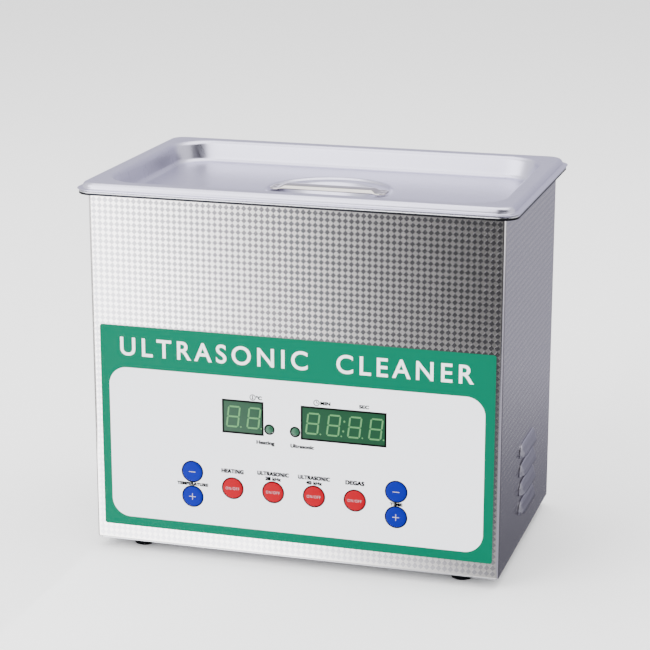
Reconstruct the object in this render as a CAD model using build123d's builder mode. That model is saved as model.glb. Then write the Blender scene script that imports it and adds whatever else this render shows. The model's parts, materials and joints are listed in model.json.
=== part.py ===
from build123d import *

import math
import os

# Bench-top ultrasonic cleaner of about three litres, for jewellery and small parts.
#
# A deep-drawn stainless tank hangs in an embossed sheet-steel case. A pressed lid lies on the tank's
# flange and lifts off by a strap across a finger dish. The front carries a printed overlay with two
# display windows, two indicators and eight round keys; the rear carries a mains inlet with a fuse
# drawer, a rocker switch and a fan. Two bolted transducers and a heater pad are bonded to the tank.
#
# Frame: millimetres, +Z up, +X to the right seen from the front, front face towards -Y, origin on the
# ground at the centre of the four feet.

os.makedirs("parts", exist_ok=True)

# ---- Case ------------------------------------------------------------------------------------------
case_w, case_d, case_h = 265.0, 162.0, 227.5
sheet = 0.8  # case, tank and lid sheet
bend_r = 2.0  # outside bend of the case
foot_h, base_t = 6.0, 1.0
case_z = foot_h + base_t  # underside of the case
case_top = case_z + case_h
front_y, rear_y = -case_d / 2, case_d / 2
inner_front, inner_rear = front_y + sheet, rear_y - sheet
top_open_l, top_open_w, top_open_r = 256.0, 153.0, 29.0
bottom_lip, rear_lip = 12.0, 11.0
louvre_len, louvre_h, louvre_out = 47.0, 8.0, 3.0
louvre_pitch, louvre_first, louvre_count = 12.65, 21.6, 4
louvre_lip, louvre_slit, louvre_end_r = 0.8, 6.0, 7.0  # hood's upright edge, slit height, round ends
vent_l, vent_w, vent_pitch, vent_rows, vent_x = 28.0, 3.0, 10.0, 7, 100.0  # slots in the base plate
base_screw_x, base_screw_y = 126.0, 50.0
rear_screw_x, rear_screw_levels = 126.0, (20.0, 113.0, 206.0)

# ---- Tank, seal and lid ----------------------------------------------------------------------------
mouth_l, mouth_w, mouth_r = 252.0, 149.0, 27.0
tank_deep, tank_taper, tank_floor_r = 100.0, 3.4, 12.0
seal_t = 1.0
flange_z = case_top + seal_t  # underside of the tank's flange
flange_l, flange_w, flange_r = 278.4, 175.4, 11.0
hem_h, hem_r = 2.5, 1.5  # down-turned edge of the flange
tank_top = flange_z + sheet
tank_bottom = tank_top - tank_deep - sheet  # outer underside

lip_z = tank_top + 0.05
lip_l, lip_w, lip_r = 280.4, 177.4, 12.0
rim_l, rim_w, rim_r, rim_h = 274.0, 172.0, 10.5, 4.65
rim_top = lip_z + rim_h
shoulder_r = 3.0
recess_l, recess_w, recess_r = 250.0, 147.0, 25.0
recess_deep, recess_taper, recess_floor_r = 13.5, 12.0, 4.0
floor_top = rim_top - recess_deep
ledge_r, ledge_drop = 40.0, 1.2  # round step that carries the strap's ends
dish_r, dish_deep = 31.5, 13.0
strap_l, strap_w, strap_t, strap_rise = 77.0, 13.0, 1.0, 2.0
strap_tab, strap_ramp, strap_curl, strap_lip = 6.0, 3.0, 2.0, 1.0

# ---- Control panel: heights are above the underside of the case --------------------------------------
overlay_w, overlay_h, overlay_t, overlay_r = 255.0, 133.3, 0.4, 1.5
overlay_x, overlay_z = 0.7, 76.55
window_h, window_z, window_step = 21.0, 89.9, 0.6  # the step fits through the case's cut-out
windows = {"temperature": (-32.2, 26.2), "timer": (33.2, 53.9)}  # centre, width
display_w = {"temperature": 25.2, "timer": 50.4}
display_h, display_t = 19.0, 8.0
indicators = {"heating_led": -14.8, "ultrasonic_led": 2.0}
indicator_z, led_d, led_rim, led_set_back = 83.4, 5.0, 0.4, 2.5
light_gap = 0.2  # room round an indicator in the panel
keys = {
    "key_temp_minus": (-66.3, 50.7),
    "key_temp_plus": (-66.3, 34.1),
    "key_heating": (-39.4, 42.2),
    "key_ultrasonic_low": (-12.6, 42.2),
    "key_ultrasonic_high": (14.2, 42.2),
    "key_degas": (40.7, 42.2),
    "key_time_minus": (67.2, 50.7),
    "key_time_plus": (67.2, 34.1),
}
key_d, key_gap, key_proud, key_travel = 13.1, 0.2, 0.7, 0.4
key_flange_d, key_flange_t, key_stem_d, key_edge_r = 15.6, 0.8, 3.4, 0.5
key_behind = 0.05  # room between the flange and the case
board_w, board_h, board_z, board_t = 162.0, 96.0, 64.0, 1.6
board_y = inner_front + 8.7  # front face of the control board
board_post_x, board_post_z = 77.0, 44.0
switch_size, switch_t, switch_bore_d, switch_floor = 6.0, 3.5, 3.8, 0.6
stem_short = 1.0  # a pressed key's stem stops this far from the board

# ---- Rear panel: heights are above the underside of the case -----------------------------------------
rear_w, rear_h, cutout_gap = 260.0, 225.0, 0.1
inlet_x, inlet_z, inlet_w, inlet_h, inlet_deep = -85.0, 52.0, 27.0, 44.0, 22.0
bezel_t, bezel_over_x, bezel_over_z = 2.2, 2.0, 3.0
pin_w, pin_t, pin_spread, pin_raise, pin_back, pin_tail = 4.0, 2.0, 7.0, 2.0, 2.0, 8.0
socket_w, socket_h, socket_deep, socket_up = 24.0, 16.5, 17.0, 8.5
drawer_w, drawer_h, drawer_deep, drawer_down, drawer_gap = 22.0, 9.6, 16.0, 13.0, 0.2
pull_t, pull_h = 1.0, 3.0  # finger ridge on the drawer
fuse_l, fuse_r, fuse_back, fuse_slot_l, fuse_slot_w = 20.0, 2.6, 10.0, 20.4, 6.0
rocker_x, rocker_z, rocker_tilt = -45.0, 52.0, 12.0
rocker_w, rocker_pin_r, rocker_pin_l = 10.0, 1.0, 1.2
switch_w, switch_h, switch_deep, switch_bezel_t, switch_over = 13.0, 19.0, 14.0, 2.0, 1.0
switch_bore_w, switch_bore_h, switch_bore_deep = 10.6, 17.0, 10.0
fan_x, fan_z, fan_size, fan_t, fan_blades = 62.0, 52.0, 60.0, 15.0, 7
fan_corner_r, fan_hub_r, fan_axle_r, fan_axle_l, fan_arm_w, fan_arm_t = 4.0, 13.0, 2.0, 10.0, 3.0, 2.0
fan_hole_pitch = 50.0
rotor_back, rotor_h, rotor_bore = 2.6, 10.8, 8.0
blade_l, blade_w, blade_t, blade_r, blade_y, blade_lean = 15.0, 10.0, 1.2, 19.5, 8.0, 0.6
grille_r, grille_rings, grille_hub_r, grille_bar = 28.0, (22.5, 17.0, 11.5), 6.5, 2.2

# ---- Inside ----------------------------------------------------------------------------------------
transducer_x, transducer_y = 58.0, 4.0
front_mass_h, front_mass_r, front_mass_low_r, bolt_reach = 26.0, 22.5, 18.0, 16.0
ring_t, electrode_t, back_mass_h, stack_r = 5.0, 0.4, 18.0, 17.5
electrode_gap, ring_gap = 1.0, 1.5  # round the bolt, so that it touches neither
bolt_r, bolt_head_r, bolt_head_h, bolt_key, bolt_key_deep = 5.0, 8.0, 8.0, 4.0, 5.0
heater_w, heater_l, heater_t = 60.0, 96.0, 1.6
sensor_x, sensor_r, sensor_h = 98.0, 8.0, 6.0
power_board_l, power_board_w, power_post_in = 150.0, 92.0, 5.0
power_board_z = case_z + 8.0
sink_l, sink_t, sink_h, sink_back_y = 90.0, 5.0, 30.0, 35.5
fin_t, fin_l, fin_pitch, fin_count = 1.4, 10.0, 7.0, 13
transistor_x, transistor_w, transistor_t, transistor_h, transistor_up = 24.0, 10.4, 4.6, 18.0, 4.0
core_x, core_y, core_l, core_w, core_h = -48.0, -12.0, 40.0, 14.0, 34.0
core_window_w, core_window_h, core_window_x, core_foot = 7.0, 22.0, 9.5, 6.0
coil_l, coil_w, coil_h, coil_gap = 25.8, 27.0, 21.8, 0.1
capacitor_r, capacitor_h, capacitor_y, capacitor_xs = 11.0, 30.0, -22.0, (8.0, 36.0)
choke_x, choke_y, choke_r, choke_hole_r, choke_h = 58.0, 6.0, 11.0, 5.0, 12.0
spacer_flat = 2.75  # half the hexagon's width across flats
cable_w, cable_t, cable_bend, cable_x = 20.0, 1.0, 3.0, -8.0
cable_up, cable_out, cable_down, cable_y = 40.0, 14.0, 6.0, -40.0

# ---- Fixings: M3 pan-head screws, M4 foot bolts ------------------------------------------------------
foot_x, foot_y, foot_d, foot_taper = 106.0, 65.0, 15.0, 0.8
foot_recess_r, foot_recess_h = 4.2, 3.0
m3_r, m3_head_r, m3_head_h, m3_l = 1.5, 2.8, 1.8, 6.0
m4_r, m4_head_r, m4_head_h, m4_l = 2.0, 3.8, 2.2, 8.5
cross_l, cross_w, cross_deep = 5.0, 0.9, 1.2
nut_flat, nut_h = 3.5, 3.2
hole_gap = 0.05  # radial room round a screw's shank
m3_hole_r, m4_hole_r = m3_r + hole_gap, m4_r + hole_gap

UP = (Align.CENTER, Align.CENTER, Align.MIN)
DOWN = (Align.CENTER, Align.CENTER, Align.MAX)


def keep(builder, name):
    """Labels a finished piece and writes it."""
    builder.part.label = name
    export_step(builder.part, f"parts/{name}.step")


def front_plane(y):
    """Upright plane facing the viewer: local x is +X, local y is height above the case's underside."""
    return Plane(origin=(0, y, case_z), x_dir=(1, 0, 0), z_dir=(0, -1, 0))


def rear_plane(y, x=0.0, z=0.0):
    """Upright plane facing backwards: local x is -X, local y is up."""
    return Plane(origin=(x, y, case_z + z), x_dir=(-1, 0, 0), z_dir=(0, 1, 0))


def hood_solid(side, foot, inset, slit):
    """Wedge of a louvre's hood, round at its upper ends; the hollow one is moved in by the sheet."""
    low = 0.0 if inset == 0 else 0.5
    edge = Plane(origin=(side * case_w / 2, -side * louvre_len / 2, foot), x_dir=(side, 0, 0),
                 z_dir=(0, side, 0))
    wall = Plane(origin=(side * (case_w / 2 - 3 * sheet), 0, foot), x_dir=(0, side, 0), z_dir=(side, 0, 0))
    with BuildPart() as hood:
        with BuildSketch(edge):  # local x is outwards, local y is down
            with BuildLine():
                Polyline((-sheet - inset, -slit), (0, -slit), (louvre_out - inset, -louvre_lip),
                         (louvre_out - inset, low), (-sheet - inset, low), (-sheet - inset, -slit))
            make_face()
        extrude(amount=louvre_len)
        with BuildSketch(wall):
            RectangleRounded(louvre_len - 2 * inset, 2 * slit, louvre_end_r - 2 * inset)
        extrude(amount=3 * sheet + louvre_out, mode=Mode.INTERSECT)
    return hood.part


def pan_solid(length, width, radius, top, deep, taper, floor_r):
    """Solid in the shape of a pan's inside or outside: narrower below, with a rounded floor edge."""
    with BuildPart() as pan:
        with BuildSketch(Plane(origin=(0, 0, top), x_dir=(1, 0, 0), z_dir=(0, 0, -1))):
            RectangleRounded(length, width, radius)
        extrude(amount=deep, taper=taper)
        fillet(pan.faces().sort_by(Axis.Z)[0].edges(), radius=floor_r)
    return pan.part


# ---- Case wrap: front and sides in one folded sheet --------------------------------------------------
wrap_d = case_d - sheet  # the rear panel lies on the wrap's rear lips
wrap_y = -sheet / 2

with BuildPart() as case_wrap:
    with BuildSketch(Plane.XY.offset(case_z)):
        with Locations((0, wrap_y)):
            RectangleRounded(case_w, wrap_d, bend_r)
            RectangleRounded(case_w - 2 * sheet, wrap_d - 2 * sheet, bend_r - sheet, mode=Mode.SUBTRACT)
        with Locations((0, inner_rear)):
            Rectangle(case_w - 2 * rear_lip, 6 * sheet, mode=Mode.SUBTRACT)
    extrude(amount=case_h)
    for level, open_l, open_w, open_r in (
        (case_top - sheet, top_open_l, top_open_w, top_open_r),
        (case_z, case_w - 2 * bottom_lip, case_d - 2 * bottom_lip, 3.0),
    ):
        with BuildSketch(Plane.XY.offset(level)):
            with Locations((0, wrap_y)):
                RectangleRounded(case_w, wrap_d, bend_r)
            RectangleRounded(open_l, open_w, open_r, mode=Mode.SUBTRACT)
            with Locations((0, rear_y)):
                Rectangle(case_w - 2 * rear_lip, 2 * (rear_y - open_w / 2), mode=Mode.SUBTRACT)
        extrude(amount=sheet)
    with BuildSketch(front_plane(front_y)):
        for x, width in windows.values():
            with Locations((x, window_z)):
                Rectangle(width - window_step, window_h - window_step)
        with Locations(*[(x, indicator_z) for x in indicators.values()]):
            Circle(led_d / 2 + light_gap)
        with Locations(*keys.values()):
            Circle(key_d / 2 + key_gap)
    extrude(amount=-2 * sheet, mode=Mode.SUBTRACT)
    # each louvre is a pressed hood over a slit, open below
    for side in (-1, 1):
        for k in range(louvre_count):
            foot_of_hood = case_z + louvre_first + k * louvre_pitch
            add(hood_solid(side, foot_of_hood, 0.0, louvre_h))
            add(hood_solid(side, foot_of_hood, sheet, louvre_slit), mode=Mode.SUBTRACT)
    # screw holes in the bottom and rear lips
    base_screws = [(sx * base_screw_x, sy * base_screw_y) for sx in (-1, 1) for sy in (-1, 1)]
    with Locations(*[(x, y, case_z) for x, y in base_screws]):
        Cylinder(m3_hole_r, 4 * sheet, mode=Mode.SUBTRACT)
    rear_screws = [(sx * rear_screw_x, z) for sx in (-1, 1) for z in rear_screw_levels]
    with Locations(*[(x, inner_rear, case_z + z) for x, z in rear_screws]):
        Cylinder(m3_hole_r, 4 * sheet, rotation=(90, 0, 0), mode=Mode.SUBTRACT)
keep(case_wrap, "case_wrap")

# ---- Base plate and feet -----------------------------------------------------------------------------
feet_at = [(sx * foot_x, sy * foot_y) for sx in (-1, 1) for sy in (-1, 1)]
power_posts = [(sx * (power_board_l / 2 - power_post_in), sy * (power_board_w / 2 - power_post_in))
               for sx in (-1, 1) for sy in (-1, 1)]
with BuildPart() as base_plate:
    with BuildSketch(Plane.XY.offset(foot_h)):
        RectangleRounded(case_w - 3, case_d - 3, 1.5)
        with Locations(*feet_at):
            Circle(m4_hole_r, mode=Mode.SUBTRACT)
        with Locations(*base_screws):
            Circle(m3_hole_r, mode=Mode.SUBTRACT)
        with GridLocations(2 * vent_x, vent_pitch, 2, vent_rows):
            SlotOverall(vent_l, vent_w, mode=Mode.SUBTRACT)
    extrude(amount=base_t)
keep(base_plate, "base_plate")

with BuildPart() as feet:
    with Locations(*[(x, y, 0) for x, y in feet_at]):
        Cone(foot_d / 2 - foot_taper, foot_d / 2, foot_h, align=UP)
        Cylinder(foot_recess_r, foot_recess_h, align=UP, mode=Mode.SUBTRACT)
        Cylinder(m4_hole_r, foot_h, align=UP, mode=Mode.SUBTRACT)
keep(feet, "feet")

with BuildPart() as foot_screws:
    with Locations(*[(x, y, foot_recess_h) for x, y in feet_at]):
        Cylinder(m4_head_r, m4_head_h, align=DOWN)
        Cylinder(m4_r, m4_l, align=UP)
    with Locations(*[(x, y, foot_recess_h - m4_head_h) for x, y in feet_at]):
        Box(cross_l, cross_w, cross_deep, align=UP, mode=Mode.SUBTRACT)
        Box(cross_w, cross_l, cross_deep, align=UP, mode=Mode.SUBTRACT)
keep(foot_screws, "foot_screws")

with BuildPart() as foot_nuts:
    with BuildSketch(Plane.XY.offset(case_z)):
        with Locations(*feet_at):
            RegularPolygon(nut_flat, 6, major_radius=False)
            Circle(m4_hole_r, mode=Mode.SUBTRACT)
    extrude(amount=nut_h)
keep(foot_nuts, "foot_nuts")

# ---- Rear panel --------------------------------------------------------------------------------------
fan_holes = [(fan_x + sx * fan_hole_pitch / 2, fan_z + sz * fan_hole_pitch / 2)
             for sx in (-1, 1) for sz in (-1, 1)]
with BuildPart() as rear_panel:
    with BuildSketch(rear_plane(inner_rear)):
        with Locations((0, case_h - rear_h / 2)):
            Rectangle(rear_w, rear_h)
        with Locations((-inlet_x, inlet_z)):
            Rectangle(inlet_w + 2 * cutout_gap, inlet_h + 2 * cutout_gap, mode=Mode.SUBTRACT)
        with Locations((-rocker_x, rocker_z)):
            Rectangle(switch_w + 2 * cutout_gap, switch_h + 2 * cutout_gap, mode=Mode.SUBTRACT)
        with Locations(*[(-x, z) for x, z in rear_screws + fan_holes]):
            Circle(m3_hole_r, mode=Mode.SUBTRACT)
        # fan grille: rings and two crossed spokes left standing in a round opening
        with Locations((-fan_x, fan_z)):
            Circle(grille_r, mode=Mode.SUBTRACT)
            for radius in grille_rings:
                Circle(radius + grille_bar / 2)
                Circle(radius - grille_bar / 2, mode=Mode.SUBTRACT)
            Circle(grille_hub_r)
        with Locations(Location((-fan_x, fan_z), 45), Location((-fan_x, fan_z), 135)):
            Rectangle(2 * grille_r + 1, grille_bar)
    extrude(amount=sheet)
    # top lip that carries the tank's flange
    with BuildSketch(Plane.XY.offset(case_top - sheet)):
        with Locations((0, (rear_y + top_open_w / 2) / 2)):
            Rectangle(case_w - 2 * rear_lip - 1, rear_y - top_open_w / 2)
        RectangleRounded(top_open_l, top_open_w, top_open_r, mode=Mode.SUBTRACT)
    extrude(amount=sheet)
keep(rear_panel, "rear_panel")

with BuildPart() as case_screws:
    with Locations(*[(x, rear_y, case_z + z) for x, z in rear_screws]):
        Cylinder(m3_head_r, m3_head_h, rotation=(90, 0, 0), align=DOWN)
        Cylinder(m3_r, m3_l, rotation=(90, 0, 0), align=UP)
    with Locations(*[(x, y, foot_h) for x, y in base_screws]):
        Cylinder(m3_head_r, m3_head_h, align=DOWN)
        Cylinder(m3_r, m3_l, align=UP)
keep(case_screws, "case_screws")

# ---- Tank and seal -----------------------------------------------------------------------------------
tank_outside = pan_solid(mouth_l + 2 * sheet, mouth_w + 2 * sheet, mouth_r + sheet,
                         tank_top, tank_deep + sheet, tank_taper, tank_floor_r + sheet)
tank_inside = pan_solid(mouth_l, mouth_w, mouth_r, tank_top, tank_deep, tank_taper, tank_floor_r)
with BuildPart() as tank:
    add(tank_outside)
    with BuildSketch(Plane.XY.offset(tank_top)):
        RectangleRounded(flange_l, flange_w, flange_r)
    extrude(amount=-sheet)
    with BuildSketch(Plane.XY.offset(flange_z)):
        RectangleRounded(flange_l, flange_w, flange_r)
        RectangleRounded(flange_l - 2 * sheet, flange_w - 2 * sheet, flange_r - sheet, mode=Mode.SUBTRACT)
    extrude(amount=sheet - hem_h)
    add(tank_inside, mode=Mode.SUBTRACT)
    fillet(tank.faces().sort_by(Axis.Z)[-1].outer_wire().edges(), radius=hem_r)
keep(tank, "tank")

with BuildPart() as tank_seal:
    with BuildSketch(Plane.XY.offset(case_top)):
        RectangleRounded(case_w - 1, case_d - 1, 3.0)
        RectangleRounded(top_open_l, top_open_w, top_open_r, mode=Mode.SUBTRACT)
    extrude(amount=seal_t)
keep(tank_seal, "tank_seal")

# ---- Lid ---------------------------------------------------------------------------------------------
recess_outside = pan_solid(recess_l + 2 * sheet, recess_w + 2 * sheet, recess_r + sheet,
                           rim_top, recess_deep + sheet, recess_taper, recess_floor_r + sheet)
recess_inside = pan_solid(recess_l, recess_w, recess_r,
                          rim_top, recess_deep, recess_taper, recess_floor_r)


def cup_solid(grow):
    """Solid of the round ledge and the dish below it; grow moves its skin outwards."""
    ledge = floor_top - ledge_drop - grow
    reach = dish_r + grow
    # sphere through the dish's edge and its lowest point
    ball_r = (reach**2 + dish_deep**2) / (2 * dish_deep)
    ball_z = ledge - dish_deep + ball_r
    lean = math.asin(reach / ball_r) / 2
    with BuildPart() as cup:
        with BuildSketch(Plane.XZ):
            with BuildLine():
                Polyline((0, ledge - dish_deep), (0, floor_top), (ledge_r + grow, floor_top),
                         (ledge_r + grow, ledge), (reach, ledge))
                ThreePointArc((reach, ledge), (ball_r * math.sin(lean), ball_z - ball_r * math.cos(lean)),
                              (0, ledge - dish_deep))
            make_face()
        revolve(axis=Axis.Z)
    return cup.part


# hollow under the raised rim: the rim's outside moved in by one sheet, shoulder and all
with BuildPart() as rim_hollow:
    with BuildSketch(Plane.XY.offset(lip_z)):
        RectangleRounded(rim_l - 2 * sheet, rim_w - 2 * sheet, rim_r - sheet)
    extrude(amount=rim_h - sheet)
    fillet(rim_hollow.faces().sort_by(Axis.Z)[-1].edges(), radius=shoulder_r - sheet)

with BuildPart() as lid:
    with BuildSketch(Plane.XY.offset(lip_z)):
        RectangleRounded(rim_l, rim_w, rim_r)
    extrude(amount=rim_h)
    fillet(lid.faces().sort_by(Axis.Z)[-1].edges(), radius=shoulder_r)
    with BuildSketch(Plane.XY.offset(lip_z)):
        RectangleRounded(lip_l, lip_w, lip_r)
    extrude(amount=sheet)
    add(rim_hollow.part, mode=Mode.SUBTRACT)
    add(recess_outside)
    add(cup_solid(sheet))
    add(recess_inside, mode=Mode.SUBTRACT)
    add(cup_solid(0.0), mode=Mode.SUBTRACT)
keep(lid, "lid")

# strap: tabs on the ledge, short ramps, a level middle with down-turned edges
ledge_top = floor_top - ledge_drop
strap_top = ledge_top + strap_rise + strap_t
half = strap_l / 2
with BuildPart() as lid_strap:
    with BuildSketch(Plane.XZ.offset(-strap_w / 2)):
        with BuildLine():
            Polyline((-half, ledge_top), (-half, ledge_top + strap_t),
                     (-half + strap_tab, ledge_top + strap_t),
                     (-half + strap_tab + strap_ramp, strap_top), (half - strap_tab - strap_ramp, strap_top),
                     (half - strap_tab, ledge_top + strap_t), (half, ledge_top + strap_t), (half, ledge_top),
                     (half - strap_tab, ledge_top), (half - strap_tab - strap_ramp, strap_top - strap_t),
                     (-half + strap_tab + strap_ramp, strap_top - strap_t), (-half + strap_tab, ledge_top),
                     (-half, ledge_top))
        make_face()
    extrude(amount=strap_w)
    with GridLocations(0, strap_w - strap_lip, 1, 2):
        with Locations((0, 0, strap_top)):
            Box(strap_l - 2 * (strap_tab + strap_ramp) - 8 * strap_lip, strap_lip, strap_curl + strap_t,
                align=DOWN)
keep(lid_strap, "lid_strap")

# ---- Front overlay, windows, displays and indicators -------------------------------------------------
with BuildPart() as panel_overlay:
    with BuildSketch(front_plane(front_y)):
        with Locations((overlay_x, overlay_z)):
            RectangleRounded(overlay_w, overlay_h, overlay_r)
        for x, width in windows.values():
            with Locations((x, window_z)):
                Rectangle(width, window_h, mode=Mode.SUBTRACT)
        with Locations(*[(x, indicator_z) for x in indicators.values()]):
            Circle(led_d / 2 + light_gap, mode=Mode.SUBTRACT)
        with Locations(*keys.values()):
            Circle(key_d / 2 + key_gap, mode=Mode.SUBTRACT)
    extrude(amount=overlay_t)
keep(panel_overlay, "panel_overlay")

for name, (x, width) in windows.items():
    with BuildPart() as window:
        with BuildSketch(front_plane(front_y)):
            with Locations((x, window_z)):
                Rectangle(width, window_h)
        extrude(amount=overlay_t)
        with BuildSketch(front_plane(front_y)):
            with Locations((x, window_z)):
                Rectangle(width - 2 * window_step, window_h - 2 * window_step)
        extrude(amount=-sheet)
    keep(window, f"{name}_window")
    with BuildPart() as display:
        with BuildSketch(front_plane(board_y)):
            with Locations((x, window_z)):
                Rectangle(display_w[name], display_h)
        extrude(amount=display_t)
    keep(display, f"{name}_display")

for name, x in indicators.items():
    led_z = case_z + indicator_z
    with BuildPart() as led:
        with Locations((x, board_y, led_z)):
            Cylinder(led_d / 2 + led_rim, 1.0, rotation=(90, 0, 0), align=UP)
            Cylinder(led_d / 2, board_y - front_y - led_set_back, rotation=(90, 0, 0), align=UP)
        with Locations((x, front_y + led_set_back, led_z)):
            Sphere(led_d / 2)
    keep(led, name)

# ---- Keys, switches and control board ----------------------------------------------------------------
key_face = front_y - overlay_t - key_proud
flange_front = inner_front + key_behind
flange_back = flange_front + key_flange_t
switch_front = board_y - switch_t
stem_end = board_y - stem_short - key_travel
for name, (x, z) in keys.items():
    with BuildPart() as key:
        with Locations((x, flange_front, case_z + z)):
            Cylinder(key_d / 2, flange_front - key_face, rotation=(90, 0, 0), align=UP)
        with Locations((x, flange_back, case_z + z)):
            Cylinder(key_flange_d / 2, key_flange_t, rotation=(90, 0, 0), align=UP)
        with Locations((x, stem_end, case_z + z)):
            Cylinder(key_stem_d / 2, stem_end - flange_back, rotation=(90, 0, 0), align=UP)
        fillet(key.edges().filter_by(GeomType.CIRCLE).sort_by(Axis.Y)[0], radius=key_edge_r)
    keep(key, name)

board_posts = [(overlay_x + sx * board_post_x, board_z + sz * board_post_z)
               for sx in (-1, 1) for sz in (-1, 1)]
with BuildPart() as key_switches:
    with BuildSketch(front_plane(board_y)):
        with Locations(*keys.values()):
            Rectangle(switch_size, switch_size)
    extrude(amount=switch_t)
    with BuildSketch(front_plane(board_y - switch_floor)):
        with Locations(*keys.values()):
            Circle(switch_bore_d / 2)
    extrude(amount=switch_t, mode=Mode.SUBTRACT)
keep(key_switches, "key_switches")

with BuildPart() as control_board:
    with BuildSketch(front_plane(board_y)):
        with Locations((overlay_x, board_z)):
            Rectangle(board_w, board_h)
        with Locations(*board_posts):
            Circle(m3_hole_r, mode=Mode.SUBTRACT)
    extrude(amount=-board_t)
keep(control_board, "control_board")

with BuildPart() as board_spacers:
    with BuildSketch(front_plane(board_y)):
        with Locations(*board_posts):
            RegularPolygon(spacer_flat, 6, major_radius=False)
            Circle(m3_hole_r, mode=Mode.SUBTRACT)
    extrude(amount=board_y - inner_front)
keep(board_spacers, "board_spacers")

# ---- Transducers: front mass, two piezo rings, electrodes, back mass, centre bolt --------------------
stack_h = front_mass_h + 2 * ring_t + 3 * electrode_t + back_mass_h
for side, word in ((-1, "left"), (1, "right")):
    at = (side * transducer_x, transducer_y)
    level = tank_bottom
    with BuildPart() as front_mass:
        with Locations((*at, level)):
            Cone(front_mass_low_r, front_mass_r, front_mass_h, align=DOWN)
        with Locations((*at, level - front_mass_h)):
            Cylinder(bolt_r + hole_gap, bolt_reach + 2.0, align=UP, mode=Mode.SUBTRACT)
    keep(front_mass, f"front_mass_{word}")
    level -= front_mass_h
    with BuildPart() as electrodes:
        with Locations(*[(*at, level - k * (ring_t + electrode_t)) for k in range(3)]):
            Cylinder(stack_r, electrode_t, align=DOWN)
            Cylinder(bolt_r + electrode_gap, electrode_t, align=DOWN, mode=Mode.SUBTRACT)
    keep(electrodes, f"electrodes_{word}")
    with BuildPart() as piezo_rings:
        with Locations(*[(*at, level - electrode_t - k * (ring_t + electrode_t)) for k in range(2)]):
            Cylinder(stack_r, ring_t, align=DOWN)
            Cylinder(bolt_r + ring_gap, ring_t, align=DOWN, mode=Mode.SUBTRACT)
    keep(piezo_rings, f"piezo_rings_{word}")
    level -= 2 * ring_t + 3 * electrode_t
    with BuildPart() as back_mass:
        with Locations((*at, level)):
            Cylinder(stack_r, back_mass_h, align=DOWN)
            Cylinder(bolt_r + hole_gap, back_mass_h, align=DOWN, mode=Mode.SUBTRACT)
    keep(back_mass, f"back_mass_{word}")
    level -= back_mass_h
    with BuildPart() as centre_bolt:
        with Locations((*at, level)):
            Cylinder(bolt_head_r, bolt_head_h, align=DOWN)
            Cylinder(bolt_r, stack_h - front_mass_h + bolt_reach, align=UP)
        with BuildSketch(Plane.XY.offset(level - bolt_head_h)):
            with Locations(at):
                RegularPolygon(bolt_key, 6, major_radius=False)
        extrude(amount=bolt_key_deep, mode=Mode.SUBTRACT)
    keep(centre_bolt, f"centre_bolt_{word}")

with BuildPart() as heater_pad:
    with Locations((0, transducer_y, tank_bottom)):
        Box(heater_w, heater_l, heater_t, align=DOWN)
keep(heater_pad, "heater_pad")

with BuildPart() as temperature_sensor:
    with Locations((sensor_x, transducer_y, tank_bottom)):
        Cylinder(sensor_r, sensor_h, align=DOWN)
keep(temperature_sensor, "temperature_sensor")

# ---- Generator board and what stands on it -----------------------------------------------------------
power_top = power_board_z + board_t
with BuildPart() as generator_board:
    with BuildSketch(Plane.XY.offset(power_board_z)):
        Rectangle(power_board_l, power_board_w)
        with Locations(*power_posts):
            Circle(m3_hole_r, mode=Mode.SUBTRACT)
    extrude(amount=board_t)
keep(generator_board, "generator_board")

with BuildPart() as generator_spacers:
    with BuildSketch(Plane.XY.offset(case_z)):
        with Locations(*power_posts):
            RegularPolygon(spacer_flat, 6, major_radius=False)
            Circle(m3_hole_r, mode=Mode.SUBTRACT)
    extrude(amount=power_board_z - case_z)
keep(generator_spacers, "generator_spacers")

with BuildPart() as board_screws:
    with Locations(*[(x, y, power_top) for x, y in power_posts]):
        Cylinder(m3_head_r, m3_head_h, align=UP)
        Cylinder(m3_r, m3_l, align=DOWN)
    with Locations(*[(x, board_y + board_t, case_z + z) for x, z in board_posts]):
        Cylinder(m3_head_r, m3_head_h, rotation=(90, 0, 0), align=DOWN)
        Cylinder(m3_r, m3_l, rotation=(90, 0, 0), align=UP)
keep(board_screws, "board_screws")

with BuildPart() as heat_sink:
    with Locations((0, sink_back_y, power_top)):
        Box(sink_l, sink_t, sink_h, align=(Align.CENTER, Align.MAX, Align.MIN))
    with Locations((0, sink_back_y - sink_t - fin_l / 2, power_top)):
        with GridLocations(fin_pitch, 0, fin_count, 1):
            Box(fin_t, fin_l, sink_h, align=UP)
keep(heat_sink, "heat_sink")

with BuildPart() as power_transistors:
    with Locations((0, sink_back_y + transistor_t / 2, power_top + transistor_up)):
        with GridLocations(2 * transistor_x, 0, 2, 1):
            Box(transistor_w, transistor_t, transistor_h, align=UP)
keep(power_transistors, "power_transistors")

with BuildPart() as transformer_core:
    with Locations((core_x, core_y, power_top)):
        Box(core_l, core_w, core_h, align=UP)
    with Locations((core_x, core_y, power_top + core_foot)):
        with GridLocations(2 * core_window_x, 0, 2, 1):
            Box(core_window_w, core_w, core_window_h, align=UP, mode=Mode.SUBTRACT)
keep(transformer_core, "transformer_core")

with BuildPart() as transformer_coil:
    with Locations((core_x, core_y, power_top + core_foot + coil_gap)):
        Box(coil_l, coil_w, coil_h, align=UP)
        Box(2 * core_window_x - core_window_w + coil_gap, core_w + coil_gap, coil_h, align=UP,
            mode=Mode.SUBTRACT)
keep(transformer_coil, "transformer_coil")

with BuildPart() as bulk_capacitors:
    with Locations(*[(x, capacitor_y, power_top) for x in capacitor_xs]):
        Cylinder(capacitor_r, capacitor_h, align=UP)
keep(bulk_capacitors, "bulk_capacitors")

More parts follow.
